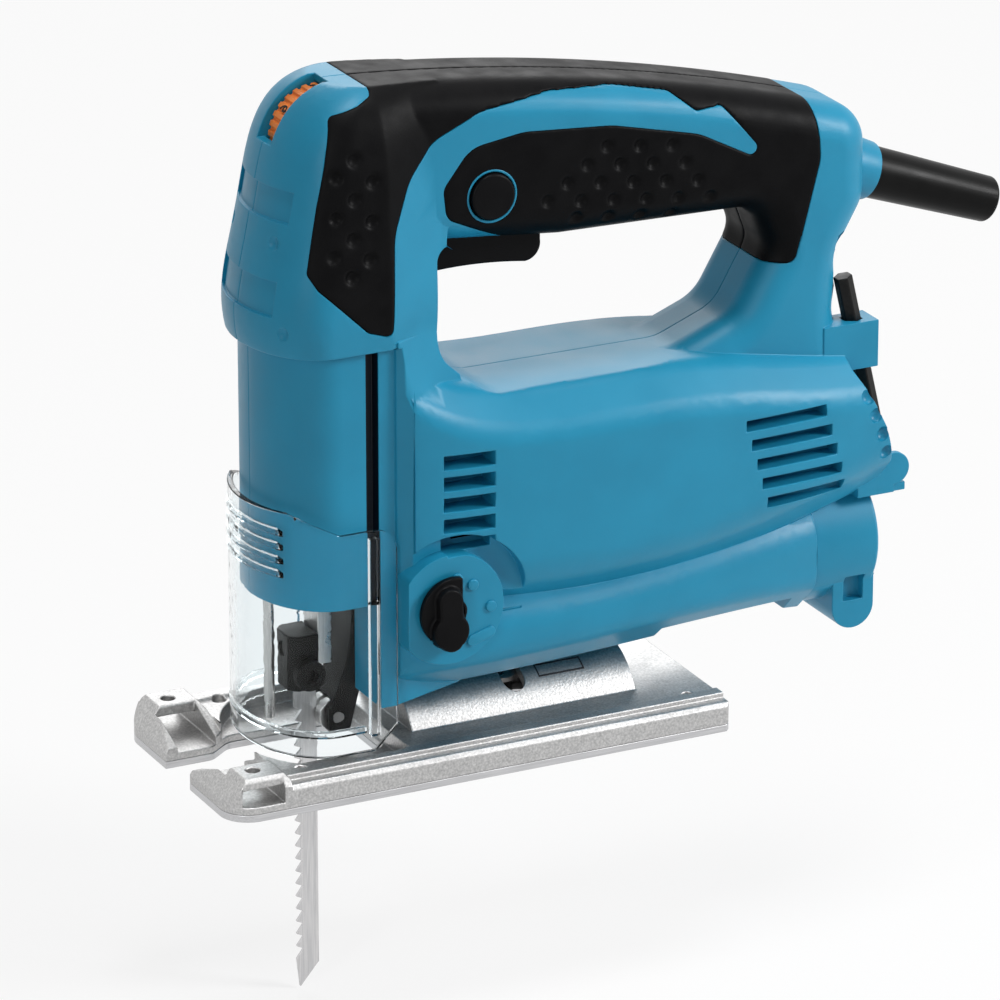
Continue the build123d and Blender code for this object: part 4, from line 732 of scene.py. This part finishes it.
def softenMark(mark, s):
    edge = mark.modifiers.new("edge", "BEVEL")
    edge.width = s["edge"]
    edge.segments = s["segments"]
    edge.limit_method = "ANGLE"
    applyAll(mark)
    smoothByAngle(mark)


marks = [roundMark(x, z, leverMarks) for x, z in leverMarks["rounds"]]
marks.append(barMark(leverMarks))
for k, mark in enumerate(marks):
    softenMark(mark, leverMarks)
    mark.name = "leverMark" + str(k + 1)
    finishPiece(mark, housingBlue, "housing")
print("dial numbers and lever marks made")


# scale frame printed on the saddle

saddleScale = {
    "front": 0.030, "rear": 0.045, "near": -0.0128, "far": -0.0088, "line": 0.0005,
    "radius": 0.02104, "thick": 0.00008, "steps": (30, 8),
}


def scaleFrame(s):
    clearSelection()
    bpy.ops.mesh.primitive_grid_add(x_subdivisions=s["steps"][0], y_subdivisions=s["steps"][1], size=1)
    outline = bpy.context.object
    outline.name = "saddleScale"
    outline.scale = (s["rear"] - s["front"], s["far"] - s["near"], 1)
    outline.location = ((s["front"] + s["rear"]) / 2, (s["near"] + s["far"]) / 2, 0)
    settle(outline)
    editAll(outline)
    bpy.ops.mesh.inset(thickness=s["line"], depth=0)
    bpy.ops.mesh.delete(type="FACE")
    leaveEdit()
    for vertex in outline.data.vertices:    # laid on the round of the saddle
        vertex.co.z = (s["radius"] ** 2 - vertex.co.y ** 2) ** 0.5
    body = outline.modifiers.new("body", "SOLIDIFY")
    body.thickness = s["thick"]
    applyAll(outline)
    return outline


scaleInk = mouldedFinish({
    "name": "scaleInk", "gloss": 0.2, "colour": (0.05, 0.05, 0.055), "dark": (0.03, 0.03, 0.035),
    "mottle": 200, "grain": 2000, "grainDepth": 0.05, "roughness": (0.5, 0.6),
})
finishPiece(scaleFrame(saddleScale), scaleInk, "base")


# blue ring round the lock button

buttonRing = {
    "at": (0.0117, -0.01895, 0.169), "radius": 0.00755, "wire": 0.0004, "around": 96, "sides": 12,
    "squash": (1, 0.6, 1),
}


def ringRoundButton(s):
    clearSelection()
    bpy.ops.mesh.primitive_torus_add(
        major_radius=s["radius"], minor_radius=s["wire"], major_segments=s["around"],
        minor_segments=s["sides"], location=s["at"], rotation=(radians(90), 0, 0))
    ring = bpy.context.object
    settle(ring)
    editAll(ring)
    bpy.ops.transform.resize(value=s["squash"], center_override=s["at"])
    leaveEdit()
    bpy.ops.object.shade_smooth()
    ring.name = "buttonRing"
    return ring


finishPiece(ringRoundButton(buttonRing), housingBlue, "housing")


# ridges moulded on the clear cover

coverRidges = {"fat": 0.0004, "bands": [
    {"name": "coverRidge1", "low": 0.0773, "high": 0.0785, "front": -0.0545},
    {"name": "coverRidge2", "low": 0.0731, "high": 0.0743, "front": -0.0545},
    {"name": "coverRidge3", "low": 0.0689, "high": 0.0701, "front": -0.0545},
    {"name": "coverRidge4", "low": 0.0647, "high": 0.0659, "front": -0.0545},
    {"name": "coverRidgeFoot", "low": 0.0165, "high": 0.0177, "front": -0.033},
]}


def coverBand(s, band):    # a slice of the cover, made a little fatter
    ridge = copyOfNode("dust_cover", band["name"])
    cuts = [
        ((0, 0, band["low"]), (0, 0, -1)),
        ((0, 0, band["high"]), (0, 0, 1)),
        ((band["front"], 0, 0), (1, 0, 0)),
    ]
    for place, normal in cuts:
        editAll(ridge)
        bpy.ops.mesh.bisect(plane_co=place, plane_no=normal, use_fill=True, clear_outer=True)
        leaveEdit()
    editAll(ridge)
    bpy.ops.transform.shrink_fatten(value=s["fat"])
    leaveEdit()
    smoothByAngle(ridge)
    return ridge


for band in coverRidges["bands"]:
    finishPiece(coverBand(coverRidges, band), coverClear, "dust_cover")
print("ring and cover ridges made")


# last: selection cleared

clearSelection()
print("scene ready")
